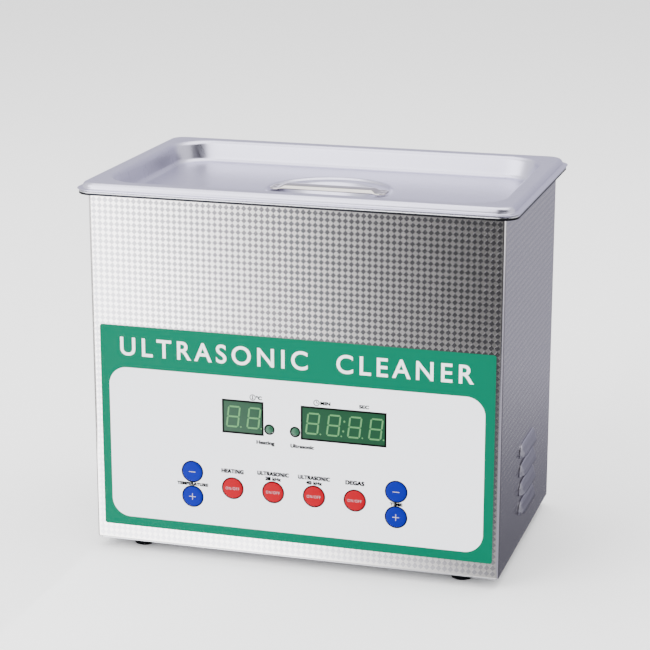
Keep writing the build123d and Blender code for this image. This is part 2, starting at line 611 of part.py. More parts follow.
with BuildPart() as output_choke:
    with Locations((choke_x, choke_y, power_top)):
        Cylinder(choke_r, choke_h, align=UP)
        Cylinder(choke_hole_r, choke_h, align=UP, mode=Mode.SUBTRACT)
keep(output_choke, "output_choke")

# ---- Mains inlet, pins, fuse drawer and fuse ---------------------------------------------------------
inlet_mid = case_z + inlet_z
socket_mid = inlet_mid + socket_up
drawer_mid = inlet_mid - drawer_down
bezel_face = rear_y + bezel_t
pins_at = [(inlet_x - pin_spread, socket_mid - pin_raise), (inlet_x + pin_spread, socket_mid - pin_raise),
           (inlet_x, socket_mid + pin_raise)]
with BuildPart() as mains_inlet:
    with Locations((inlet_x, rear_y, inlet_mid)):
        Box(inlet_w + 2 * bezel_over_x, bezel_t, inlet_h + 2 * bezel_over_z,
            align=(Align.CENTER, Align.MIN, Align.CENTER))
        Box(inlet_w, inlet_deep, inlet_h, align=(Align.CENTER, Align.MAX, Align.CENTER))
    with Locations((inlet_x, bezel_face, socket_mid)):
        Box(socket_w, socket_deep, socket_h, align=(Align.CENTER, Align.MAX, Align.CENTER),
            mode=Mode.SUBTRACT)
    with Locations((inlet_x, bezel_face, drawer_mid)):
        Box(drawer_w + 2 * drawer_gap, drawer_deep + 2 * drawer_gap, drawer_h + 2 * drawer_gap,
            align=(Align.CENTER, Align.MAX, Align.CENTER), mode=Mode.SUBTRACT)
    with Locations(*[(x, rear_y, z) for x, z in pins_at]):
        Box(pin_w, 2 * inlet_deep + 2, pin_t, mode=Mode.SUBTRACT)
keep(mains_inlet, "mains_inlet")

with BuildPart() as inlet_pins:
    with Locations(*[(x, bezel_face - pin_back, z) for x, z in pins_at]):
        Box(pin_w, inlet_deep + pin_tail, pin_t, align=(Align.CENTER, Align.MAX, Align.CENTER))
keep(inlet_pins, "inlet_pins")

fuse_y = bezel_face - fuse_back
with BuildPart() as fuse_drawer:
    with Locations((inlet_x, bezel_face, drawer_mid)):
        Box(drawer_w, drawer_deep, drawer_h, align=(Align.CENTER, Align.MAX, Align.CENTER))
        Box(drawer_w, pull_t, pull_h, align=(Align.CENTER, Align.MIN, Align.CENTER))
    with Locations((inlet_x, fuse_y, drawer_mid - fuse_r)):
        Box(fuse_slot_l, fuse_slot_w, drawer_h, align=UP, mode=Mode.SUBTRACT)
keep(fuse_drawer, "fuse_drawer")

with BuildPart() as fuse:
    with Locations((inlet_x, fuse_y, drawer_mid)):
        Cylinder(fuse_r, fuse_l, rotation=(0, 90, 0))
keep(fuse, "fuse")

# ---- Rocker switch -----------------------------------------------------------------------------------
rocker_mid = case_z + rocker_z
pivot_y = rear_y - 1.0
with BuildPart() as switch_housing:
    with Locations((rocker_x, rear_y, rocker_mid)):
        Box(switch_w + 2 * switch_over, switch_bezel_t, switch_h + 2 * switch_over,
            align=(Align.CENTER, Align.MIN, Align.CENTER))
        Box(switch_w, switch_deep, switch_h, align=(Align.CENTER, Align.MAX, Align.CENTER))
    with Locations((rocker_x, rear_y + switch_bezel_t, rocker_mid)):
        Box(switch_bore_w, switch_bore_deep, switch_bore_h, align=(Align.CENTER, Align.MAX, Align.CENTER),
            mode=Mode.SUBTRACT)
    with Locations((rocker_x, pivot_y, rocker_mid)):
        Cylinder(rocker_pin_r + hole_gap, rocker_w + 2 * rocker_pin_l + 2 * hole_gap, rotation=(0, 90, 0),
                 mode=Mode.SUBTRACT)
keep(switch_housing, "switch_housing")

# side view of the rocker: a shallow V that tips about its pins
with BuildPart() as rocker:
    with BuildSketch(Plane(origin=(rocker_x - rocker_w / 2, pivot_y, rocker_mid), x_dir=(0, 1, 0),
                           z_dir=(1, 0, 0))):
        with BuildLine(Rotation(0, 0, rocker_tilt)):
            Polyline((-2, -7.2), (4.6, -7.4), (3.4, 0), (4.6, 7.4), (-2, 7.2), (-5, 0), (-2, -7.2))
        make_face()
    extrude(amount=rocker_w)
    with Locations((rocker_x, pivot_y, rocker_mid)):
        Cylinder(rocker_pin_r, rocker_w + 2 * rocker_pin_l, rotation=(0, 90, 0))
keep(rocker, "rocker")

# ---- Fan ---------------------------------------------------------------------------------------------
fan_front = inner_rear - fan_t
fan_mid = case_z + fan_z
with BuildPart() as fan_frame:
    with BuildSketch(rear_plane(fan_front, fan_x, fan_z)):
        RectangleRounded(fan_size, fan_size, fan_corner_r)
        Circle(grille_r, mode=Mode.SUBTRACT)
        with GridLocations(fan_hole_pitch, fan_hole_pitch, 2, 2):
            Circle(m3_hole_r, mode=Mode.SUBTRACT)
    extrude(amount=fan_t)
    with BuildSketch(rear_plane(fan_front, fan_x, fan_z)):
        Circle(fan_hub_r)
        with PolarLocations((grille_r + fan_hub_r) / 2, 3):
            Rectangle(grille_r - fan_hub_r + 2.0, fan_arm_w)
    extrude(amount=fan_arm_t)
    with BuildSketch(rear_plane(fan_front, fan_x, fan_z)):
        Circle(fan_axle_r)
    extrude(amount=fan_axle_l)
keep(fan_frame, "fan_frame")

with BuildPart() as fan_rotor:
    with BuildSketch(rear_plane(fan_front + rotor_back, fan_x, fan_z)):
        Circle(fan_hub_r)
    extrude(amount=rotor_h)
    for k in range(fan_blades):
        turn = math.radians(k * 360 / fan_blades)
        across, up = math.cos(turn), math.sin(turn)
        blade = Plane(origin=(fan_x + blade_r * across, fan_front + blade_y, fan_mid + blade_r * up),
                      x_dir=(across, 0, up),
                      z_dir=(-up * blade_lean, math.sqrt(1 - blade_lean**2), across * blade_lean))
        with BuildSketch(blade):
            Rectangle(blade_l, blade_w)
        extrude(amount=blade_t / 2, both=True)
    with BuildSketch(rear_plane(fan_front + rotor_back, fan_x, fan_z)):
        Circle(fan_axle_r + hole_gap)
    extrude(amount=rotor_bore, mode=Mode.SUBTRACT)
keep(fan_rotor, "fan_rotor")

with BuildPart() as fan_screws:
    with Locations(*[(x, rear_y, case_z + z) for x, z in fan_holes]):
        Cylinder(m3_head_r, m3_head_h, rotation=(90, 0, 0), align=DOWN)
        Cylinder(m3_r, fan_t + sheet, rotation=(90, 0, 0), align=UP)
keep(fan_screws, "fan_screws")

# ---- Ribbon cable between the boards -----------------------------------------------------------------
cable_start = board_y + board_t + cable_t / 2
cable_end = power_top + cable_t / 2
with BuildPart() as ribbon_cable:
    with BuildSketch(Plane.YZ.offset(cable_x)):
        with BuildLine():
            FilletPolyline((cable_start, cable_up), (cable_start + cable_out, cable_up),
                           (cable_start + cable_out, cable_end + cable_down),
                           (cable_y, cable_end + cable_down), (cable_y, cable_end), radius=cable_bend)
            offset(amount=cable_t / 2)
        make_face()
    extrude(amount=cable_w)
keep(ribbon_cable, "ribbon_cable")
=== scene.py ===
import json
import math

import bmesh
import bpy
import numpy as np
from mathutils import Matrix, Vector

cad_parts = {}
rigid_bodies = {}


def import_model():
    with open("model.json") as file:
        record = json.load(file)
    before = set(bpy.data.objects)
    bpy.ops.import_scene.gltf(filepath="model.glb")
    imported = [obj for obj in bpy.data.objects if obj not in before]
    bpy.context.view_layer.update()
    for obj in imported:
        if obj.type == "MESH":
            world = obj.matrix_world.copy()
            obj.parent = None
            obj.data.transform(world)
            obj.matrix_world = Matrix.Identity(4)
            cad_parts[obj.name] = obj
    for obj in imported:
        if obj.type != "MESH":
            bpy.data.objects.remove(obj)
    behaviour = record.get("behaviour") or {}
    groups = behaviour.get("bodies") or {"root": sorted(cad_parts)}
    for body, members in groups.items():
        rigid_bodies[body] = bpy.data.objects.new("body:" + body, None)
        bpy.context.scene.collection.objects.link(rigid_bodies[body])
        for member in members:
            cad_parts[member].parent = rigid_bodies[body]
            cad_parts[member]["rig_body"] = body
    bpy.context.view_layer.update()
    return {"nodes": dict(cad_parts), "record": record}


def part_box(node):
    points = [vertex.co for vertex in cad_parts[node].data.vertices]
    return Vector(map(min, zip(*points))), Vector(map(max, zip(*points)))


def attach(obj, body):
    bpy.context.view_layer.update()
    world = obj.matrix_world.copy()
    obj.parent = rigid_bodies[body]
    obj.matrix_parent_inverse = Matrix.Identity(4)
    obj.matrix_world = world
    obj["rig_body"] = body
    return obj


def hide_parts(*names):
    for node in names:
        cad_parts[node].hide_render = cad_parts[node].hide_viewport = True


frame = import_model()
nodes = frame["nodes"]
mm = 0.001

# where things are, from the frame
wrapLow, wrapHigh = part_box("case_wrap")
overlayLow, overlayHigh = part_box("panel_overlay")
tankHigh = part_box("tank")[1]
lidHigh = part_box("lid")[1]
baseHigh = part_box("base_plate")[1].z
keyNames = [name for name in nodes if name.startswith("key_") and name != "key_switches"]
mergeGap = 0.001 * mm
print("frame loaded:", len(nodes), "nodes")


def linearColour(hexText):
    # sRGB byte to linear light: divide by 12.92 near black, a 2.4 power above it
    out = []
    for k in (0, 2, 4):
        c = int(hexText[k:k + 2], 16) / 255
        out.append(c / 12.92 if c <= 0.04045 else ((c + 0.055) / 1.055) ** 2.4)
    return (*out, 1.0)


def addNode(tree, kind, settings=None, **links):
    # one node, its properties from settings, its sockets from links: a value or another node's socket
    node = tree.nodes.new(kind)
    for name, value in (settings or {}).items():
        setattr(node, name, value)
    for name, value in links.items():
        key = int(name[1:]) if name[0] == "i" and name[1:].isdigit() else name.replace("_", " ")
        socket = node.inputs[key]
        if isinstance(value, bpy.types.NodeSocket):
            tree.links.new(value, socket)
        else:
            socket.default_value = value
    return node


def newMaterial(name, base, metallic=0.0, roughness=0.5, **extra):
    material = bpy.data.materials.new(name)
    material.use_nodes = True
    shader = material.node_tree.nodes["Principled BSDF"]
    shader.inputs["Base Color"].default_value = linearColour(base)
    shader.inputs["Metallic"].default_value = metallic
    shader.inputs["Roughness"].default_value = roughness
    for key, value in extra.items():
        shader.inputs[key.replace("_", " ")].default_value = value
    return material, material.node_tree, shader


def objectPoint(tree, scale=(1, 1, 1)):
    # object coordinates, in metres, times a scale for each axis
    place = addNode(tree, "ShaderNodeTexCoord")
    return addNode(tree, "ShaderNodeMapping", Vector=place.outputs["Object"], Scale=scale).outputs[0]


def varyRoughness(tree, shader, point, low, high, scale=1.0, detail=3.0):
    # soft patches of a noise, so many to a metre, run the roughness between two values
    noise = addNode(tree, "ShaderNodeTexNoise", Vector=point, Scale=scale, Detail=detail)
    span = addNode(tree, "ShaderNodeMapRange", Value=noise.outputs["Fac"], From_Min=0.3, From_Max=0.7,
                   To_Min=low, To_Max=high)
    tree.links.new(span.outputs[0], shader.inputs["Roughness"])
    return noise


def addBump(tree, shader, height, strength, distance):
    bump = addNode(tree, "ShaderNodeBump", Height=height, Strength=strength, Distance=distance)
    tree.links.new(bump.outputs[0], shader.inputs["Normal"])


def brushedSteel(name, base, low, high, grain, lines):
    # stainless sheet with a fine linear finish: soft reflections drawn out across the grain
    # lines is how many grains stand in a metre along X, Y and Z
    material, tree, shader = newMaterial(name, base, 1.0, low)
    noise = varyRoughness(tree, shader, objectPoint(tree, lines), low, high, 1.0, 4.0)
    addBump(tree, shader, noise.outputs["Fac"], grain, 0.02 * mm)
    return material


def mouldedPlastic(name, base, roughness, grit=0.35, shine=0.5):
    # injection-moulded shell: satin, with a spark-eroded grain of about a third of a millimetre
    material, tree, shader = newMaterial(name, base, 0.0, roughness, Specular_IOR_Level=shine)
    grain = varyRoughness(tree, shader, objectPoint(tree), roughness - 0.04, roughness + 0.04,
                          1 / (grit * mm), 2.0)
    addBump(tree, shader, grain.outputs["Fac"], 0.12, 0.05 * mm)
    return material


def castClear(name, base, low, high, **extra):
    # cast or drawn clear stuff: a glossy skin whose reflections blur a little more in soft patches
    material, tree, shader = newMaterial(name, base, 0.0, low, **extra)
    noise = varyRoughness(tree, shader, objectPoint(tree), low, high, 0.26 / mm)
    addBump(tree, shader, noise.outputs["Fac"], 0.04, 0.02 * mm)
    return material


def mottled(name, light, dark, metallic, roughness, spot, shine=0.5):
    # a cast, sintered, cured or printed surface: two close tones in patches of a size in millimetres
    material, tree, shader = newMaterial(name, light, metallic, roughness, Specular_IOR_Level=shine)
    noise = addNode(tree, "ShaderNodeTexNoise", Vector=objectPoint(tree), Scale=1 / (spot * mm), Detail=5.0)
    tone = addNode(tree, "ShaderNodeMix", {"data_type": "RGBA"}, Factor=noise.outputs["Fac"])
    tone.inputs[6].default_value = linearColour(dark)
    tone.inputs[7].default_value = linearColour(light)
    tree.links.new(tone.outputs[2], shader.inputs["Base Color"])
    addBump(tree, shader, noise.outputs["Fac"], 0.15, 0.05 * mm)
    return material


def printedOverlay(name, style):
    # screen-printed polyester film: satin, a green border round a white field with round corners
    material, tree, shader = newMaterial(name, style["green"], 0.0, 0.45, Specular_IOR_Level=0.04)
    place = addNode(tree, "ShaderNodeTexCoord")
    axes = addNode(tree, "ShaderNodeSeparateXYZ", Vector=place.outputs["Object"])
    # how far a point lies past the field's inner rectangle, along each axis and then straight out
    reach = []
    for axis, mid, half in (("X", style["midX"], style["halfX"]), ("Z", style["midZ"], style["halfZ"])):
        away = addNode(tree, "ShaderNodeMath", {"operation": "SUBTRACT"}, i0=axes.outputs[axis], i1=mid)
        size = addNode(tree, "ShaderNodeMath", {"operation": "ABSOLUTE"}, i0=away.outputs[0])
        past = addNode(tree, "ShaderNodeMath", {"operation": "SUBTRACT"}, i0=size.outputs[0],
                       i1=half - style["corner"])
        reach.append(addNode(tree, "ShaderNodeMath", {"operation": "MAXIMUM"}, i0=past.outputs[0], i1=0.0))
    squares = [addNode(tree, "ShaderNodeMath", {"operation": "MULTIPLY"}, i0=r.outputs[0], i1=r.outputs[0])
               for r in reach]
    total = addNode(tree, "ShaderNodeMath", {"operation": "ADD"}, i0=squares[0].outputs[0],
                    i1=squares[1].outputs[0])
    root = addNode(tree, "ShaderNodeMath", {"operation": "SQRT"}, i0=total.outputs[0])
    inside = addNode(tree, "ShaderNodeMath", {"operation": "LESS_THAN"}, i0=root.outputs[0],
                     i1=style["corner"])
    tone = addNode(tree, "ShaderNodeMix", {"data_type": "RGBA"}, Factor=inside.outputs[0])
    tone.inputs[6].default_value = linearColour(style["green"])
    tone.inputs[7].default_value = linearColour(style["white"])
    tree.links.new(tone.outputs[2], shader.inputs["Base Color"])
    skin = varyRoughness(tree, shader, objectPoint(tree), 0.41, 0.49, 0.9 / mm, 2.0)
    addBump(tree, shader, skin.outputs["Fac"], 0.05, 0.02 * mm)
    return material


def diamondHeight(tree, pitch, reach):
    # the rolled diamonds as a height: one inside a diamond of that reach in each square of that pitch
    place = addNode(tree, "ShaderNodeTexCoord")
    axes = addNode(tree, "ShaderNodeSeparateXYZ", Vector=place.outputs["Object"])
    away = []
    for axis in ("Y", "Z"):
        cell = addNode(tree, "ShaderNodeMath", {"operation": "PINGPONG"}, i0=axes.outputs[axis], i1=pitch / 2)
        away.append(cell.outputs[0])
    total = addNode(tree, "ShaderNodeMath", {"operation": "ADD"}, i0=away[0], i1=away[1])
    return addNode(tree, "ShaderNodeMapRange", Value=total.outputs[0], From_Min=reach, From_Max=reach * 0.6,
                   To_Min=0.0, To_Max=1.0).outputs[0]


def shadedHoodSteel(name, style):
    # the same rolled sheet where it is pressed out into louvres: painted darker as shade, its diamonds
    # stretched shallow
    material, tree, shader = newMaterial(name, style["hood"], 1.0, 0.34)
    addBump(tree, shader, diamondHeight(tree, style["pitch"] * mm, style["reach"] * mm), 0.6, 0.2 * mm)
    return material


def embossedSteel(name, style):
    # stainless sheet rolled with a diamond pattern: glossy enough to mirror its surroundings; the lands
    # painted darker than the ground, painted shade for how the diamonds catch the light
    material, tree, shader = newMaterial(name, style["land"], 1.0, style["smooth"])
    # each face's share of the painted shade, as marked on the case sheet
    height = addNode(tree, "ShaderNodeAttribute", {"attribute_name": "emboss"})
    tone = addNode(tree, "ShaderNodeMix", {"data_type": "RGBA"}, Factor=height.outputs["Fac"])
    tone.inputs[6].default_value = linearColour(style["ground"])
    tone.inputs[7].default_value = linearColour(style["land"])
    tree.links.new(tone.outputs[2], shader.inputs["Base Color"])
    varyRoughness(tree, shader, objectPoint(tree), style["smooth"], style["dull"], 0.22 / mm, 4.0)
    return material


overlay = {"green": "005E46", "white": "F6F7FC", "corner": 12 * mm, "halfX": 121.7 * mm, "halfZ": 50 * mm,
           "midX": 0.5 * mm, "midZ": baseHigh + 66 * mm}
# one steel throughout: land darker than ground is painted shade on the diamonds, and hood darker still is
# painted shade on the louvres
emboss = {"ground": "D0CDCD", "land": "B6B4BA", "hood": "8E8C97", "smooth": 0.13, "dull": 0.19,
          "pitch": 3.8, "reach": 1.3}

# a finish for each of the frame's slots, named for the stuff and how its surface was made
finishes = {
    # stainless sheet: rolled on the case, line-brushed behind and below, pressed smooth on the lid and tank
    "embossed_steel": embossedSteel("embossedStainless", emboss),
    "brushed_steel": brushedSteel("brushedStainless", "B9B9BE", 0.30, 0.42, 0.25, (40, 40, 2600)),
    "polished_steel": brushedSteel("pressedStainless", "B9B7C8", 0.27, 0.32, 0.03, (60, 1500, 60)),
    "tank_steel": brushedSteel("drawnStainless", "C4C4C9", 0.24, 0.30, 0.03, (700, 700, 60)),
    # the panel: satin film, dark green windows and lenses that show no light, satin keys
    "overlay_print": printedOverlay("printedPolyester", overlay),
    "smoked_window": castClear("tintedAcrylic", "173E29", 0.10, 0.15, Specular_IOR_Level=0.18),
    "display_body": mouldedPlastic("displayBody", "2F5540", 0.5),
    "led_red": castClear("redEpoxyLens", "24503A", 0.28, 0.36, Specular_IOR_Level=0.2),
    "led_green": castClear("greenEpoxyLens", "24503A", 0.28, 0.36, Specular_IOR_Level=0.2),
    "key_blue": mouldedPlastic("blueKeycap", "02127F", 0.42, 0.35, 0.06),
    "key_red": mouldedPlastic("redKeycap", "980016", 0.42, 0.35, 0.06),
    # feet, seal and inner parts, each in its own dull or machined skin
    "black_rubber": mottled("blackRubber", "08090D", "030407", 0.0, 0.72, 0.6, 0.05),
    "silicone": mottled("curedSilicone", "17171B", "0E0E12", 0.0, 0.6, 1.0, 0.2),
    "circuit_board": mottled("solderMask", "1C6B3C", "145230", 0.0, 0.38, 2.0),
    "black_plastic": mouldedPlastic("blackNylon", "1B1B1E", 0.48),
    "screw_steel": mottled("zincPlatedSteel", "B4B4B8", "A0A0A6", 1.0, 0.30, 0.8),
    "aluminium": mottled("turnedAluminium", "C6C8CC", "B4B6BA", 1.0, 0.34, 0.7),
    "brass": mottled("turnedBrass", "C9A25A", "B58E46", 1.0, 0.28, 0.7),
    "piezo_ceramic": mottled("firedPiezoCeramic", "9C9080", "877B6B", 0.0, 0.62, 0.4),
    "fuse_glass": castClear("fuseGlass", "E6EEEE", 0.04, 0.07, Transmission_Weight=0.85),
    "capacitor_sleeve": mouldedPlastic("shrinkSleeve", "1A2036", 0.3),
    "ferrite": mottled("sinteredFerrite", "2B2B2E", "1F1F22", 0.0, 0.66, 0.5),
    "coil_tape": mottled("coilTape", "D9A92E", "C39320", 0.0, 0.42, 1.5),
    "ribbon_grey": mouldedPlastic("ribbonJacket", "A8A8AE", 0.45),
}
# finishes for single pieces: inks, unlit display bars, a buffed strap, a painted shadow for the gap under the
# lid's lip and pressed hoods painted darker as shade
blackPrint = mottled("blackInk", "040405", "020203", 0.0, 0.6, 0.8, 0.02)
whitePrint = mottled("whiteInk", "FDFEFF", "F8F9FD", 0.0, 0.45, 0.8, 0.2)
keyPrint = mottled("thinWhiteInk", "BAB8C0", "AEACB4", 0.0, 0.45, 0.8, 0.1)
segmentPrint = mottled("unlitSegment", "4B8450", "437C48", 0.0, 0.4, 1.0, 0.2)

buffedSteel = brushedSteel("buffedStainless", "ADA9A6", 0.05, 0.10, 0.05, (40, 900, 900))
# painted shadow: the dark of the gap under the lid's lip, laid on the flange's edge
gapShadowSteel = mottled("paintedGapShadow", "26262B", "1A1A1E", 1.0, 0.42, 0.8)
# painted shade: the louvre hoods are the case's steel painted darker
shadedHoodSheet = shadedHoodSteel("pressedHoodPaintedShade", emboss)
slotOf = {row["node"]: row["material_slot"] for row in frame["record"]["subparts"]}
for name, node in nodes.items():
    node.data.materials.clear()
    node.data.materials.append(finishes[slotOf[name]])
print("materials:", len(bpy.data.materials))


# Each maker below gives a piece its mesh in place; its object stays at the origin.

def meshObject(name, points, faces, material, body, smooth=True):
    mesh = bpy.data.meshes.new(name)
    mesh.from_pydata(np.asarray(points, float).tolist(), [], faces)
    mesh.update()
    mesh.polygons.foreach_set("use_smooth", [smooth] * len(mesh.polygons))
    mesh.materials.append(material)
    piece = bpy.data.objects.new(name, mesh)
    bpy.context.scene.collection.objects.link(piece)
    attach(piece, body)
    return piece


def gridFaces(rows, columns, closed):
    # quads between neighbouring rows; a closed grid joins its last column to its first
    i, j = np.meshgrid(np.arange(rows - 1), np.arange(columns if closed else columns - 1), indexing="ij")
    a = i * columns + j
    b = i * columns + (j + 1) % columns
    return np.stack([a, b, b + columns, a + columns], -1).reshape(-1, 4).tolist()


def thicken(piece, thickness):
    # sheet thickness added behind the outward faces
    wall = piece.modifiers.new("wall", "SOLIDIFY")
    wall.thickness, wall.offset, wall.use_even_offset = thickness, -1.0, True


# points on the loops of a pressing: round each corner and along each side; then the rings up a bend of its
# profile, and those from its last rectangle to its first circle
loopSteps = {"corner": 12, "longSide": 36, "shortSide": 20, "bend": 7, "blend": 12}
loopCount = 4 * loopSteps["corner"] + 2 * (loopSteps["longSide"] + loopSteps["shortSide"])


def roundedLoop(halfX, halfY, corner):
    # once round a rectangle with round corners, anticlockwise from the right
    turn = np.linspace(0, math.pi / 2, loopSteps["corner"])
    loop = []
    for k, (sx, sy) in enumerate(((1, 1), (-1, 1), (-1, -1), (1, -1))):
        loop.append(np.stack([sx * (halfX - corner) + corner * np.cos(turn + k * math.pi / 2),
                              sy * (halfY - corner) + corner * np.sin(turn + k * math.pi / 2)], -1))
    out = []
    for k in range(4):
        count = loopSteps["longSide" if k % 2 == 0 else "shortSide"]
        share = np.arange(1, count + 1)[:, None] / (count + 1)
        out += [loop[k], loop[k][-1] * (1 - share) + loop[(k + 1) % 4][0] * share]
    return np.concatenate(out)


def loopSurface(rectangles, circles):
    # rectangle loops (halfX, halfY, corner, z), then circle loops (radius, z), closed at a pole
    # a circle's points lie at the angles of the last rectangle's, so the rings run straight across
    loops = [np.column_stack([roundedLoop(hx, hy, c), np.full(loopCount, z)]) for hx, hy, c, z in rectangles]
    last = loops[-1]
    angle = np.arctan2(last[:, 1], last[:, 0])
    radius, height = circles[0]
    target = np.column_stack([radius * np.cos(angle), radius * np.sin(angle), np.full(loopCount, height)])
    loops += [last * (1 - t) + target * t for t in np.linspace(0, 1, loopSteps["blend"])[1:]]
    loops += [np.column_stack([r * np.cos(angle), r * np.sin(angle), np.full(loopCount, z)])
              for r, z in circles[1:-1]]
    points = np.concatenate(loops + [np.array([[0, 0, circles[-1][1]]])]) * mm
    faces = gridFaces(len(loops), loopCount, True)
    ring = (len(loops) - 1) * loopCount + np.arange(loopCount)
    faces += np.column_stack([ring, np.roll(ring, -1), np.full(loopCount, len(points) - 1)]).tolist()
    return points, faces


def arcRings(centreX, centreY, corner, centreZ, radius):
    # a quarter bend in the profile, from straight out to straight up about (centreX, centreZ)
    turn = np.radians(np.linspace(0, 90, loopSteps["bend"]))
    out, up = radius * np.cos(turn), radius * np.sin(turn)
    return [(centreX + o, centreY + o, max(corner + o, 1.0), centreZ + u) for o, u in zip(out, up)]


def lathe(name, profile, centre, material, body, columns=64):
    # a profile of (radius, y) from pole to pole turned about a line along Y through (x, z)
    radius, depth = np.array(profile, float)[1:-1].T
    turn = np.linspace(0, 2 * math.pi, columns, endpoint=False)
    x = centre[0] + radius[:, None] * np.cos(turn)
    z = centre[1] + radius[:, None] * np.sin(turn)
    y = np.broadcast_to(depth[:, None], x.shape)
    rings = np.stack([x, y, z], -1).reshape(-1, 3)
    poles = np.array([[centre[0], profile[0][1], centre[1]], [centre[0], profile[-1][1], centre[1]]])
    faces = gridFaces(len(radius), columns, True)
    first, final = np.arange(columns), (len(radius) - 1) * columns + np.arange(columns)
    count = len(rings)
    faces += np.column_stack([np.roll(first, -1), first, np.full(columns, count)]).tolist()
    faces += np.column_stack([final, np.roll(final, -1), np.full(columns, count + 1)]).tolist()
    return meshObject(name, np.concatenate([rings, poles]) * mm, faces, material, body)


def finishEdges(name, width):
    # a node's own shape with its hard edges rounded: merged, flat faces joined, then bevelled
    source = nodes[name]
    work = bmesh.new()
    work.from_mesh(source.data)
    bmesh.ops.remove_doubles(work, verts=work.verts, dist=mergeGap)
    bmesh.ops.dissolve_limit(work, angle_limit=math.radians(1), verts=work.verts, edges=work.edges)
    mesh = bpy.data.meshes.new(name + "_finished")
    work.to_mesh(mesh)
    work.free()
    mesh.materials.append(source.data.materials[0])
    piece = bpy.data.objects.new(name + "_finished", mesh)
    bpy.context.scene.collection.objects.link(piece)
    edge = piece.modifiers.new("edge", "BEVEL")
    edge.width, edge.segments = width * mm, 2
    edge.limit_method, edge.angle_limit = "ANGLE", math.radians(35)
    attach(piece, source["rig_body"])
    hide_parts(name)


# the case sheet: a plan path with a C-shaped section, its walls rolled with diamonds
caseSheet = {
    "halfX": 132.5, "sheet": 0.8, "bend": 2.0, "rearLip": 11.0, "bottomLip": 12.0, "topLip": 4.5,
    "edge": 0.7,  # rounding of the top and bottom folds
    "foot": 1.4, "head": 2.4,  # plain strips below and above the diamonds
    "pitch": emboss["pitch"], "diamond": 1.89, "flat": 1.78,  # half diagonals at the ground and on top
    "height": 0.16, "sideShare": 0.2, "sideShade": 0.55,  # the sides are shallower and carry less painted shade
    "room": 0.5,  # clear space round each opening in the front
    "overlap": 3.0,  # how far the diamonds run in behind the panel's edge
}
# louvres: hoods pressed out over slits, evenly spaced up both sides
louvre = {"length": 47.0, "height": 8.0, "out": 3.0, "sunk": 0.1, "sheet": 0.7, "land": 1.0,
          "pitch": 12.65, "first": 21.6, "count": 4, "slitMid": 2.6, "slitHalf": 1.95, "slitEnd": 5.0,
          "steps": (49, 13)}
louvreFeet = [wrapLow.z / mm + louvre["first"] + k * louvre["pitch"] for k in range(louvre["count"])]
openings = ["temperature_window", "timer_window", "heating_led", "ultrasonic_led"]


def casePlan():
    # outer plan points from the rear left lip, down the left side, along the front, up the right side
    # flat is true for each step along a wall that can carry diamonds
    halfX, bendR = caseSheet["halfX"], caseSheet["bend"]
    lip = halfX - caseSheet["rearLip"]
    lowY, highY = wrapLow.y / mm, wrapHigh.y / mm

    def run(start, end):
        count = max(round(abs(np.subtract(end, start)).sum() / caseSheet["pitch"]), 1)
        return np.linspace(start, end, count + 1)[:-1], [True] * count

    def turn(cx, cy, start):
        angles = np.radians(start + np.linspace(0, 90, 5))[:-1]
        return np.column_stack([cx + bendR * np.cos(angles), cy + bendR * np.sin(angles)]), [False] * 4

    inX, inHigh, inLow = halfX - bendR, highY - bendR, lowY + bendR
    stretches = [run((-lip, highY), (-inX, highY)), turn(-inX, inHigh, 90),
                 run((-halfX, inHigh), (-halfX, inLow)), turn(-inX, inLow, 180),
                 run((-inX, lowY), (inX, lowY)), turn(inX, inLow, 270),
                 run((halfX, inLow), (halfX, inHigh)), turn(inX, inHigh, 0),
                 run((inX, highY), (lip, highY))]
    points = np.concatenate([p for p, _ in stretches] + [[(lip, highY)]])
    flat = np.array(sum([f for _, f in stretches], []))
    # the two rear lips stay plain
    flat[:len(stretches[0][1])] = False
    flat[-len(stretches[-1][1]):] = False
    return points, flat


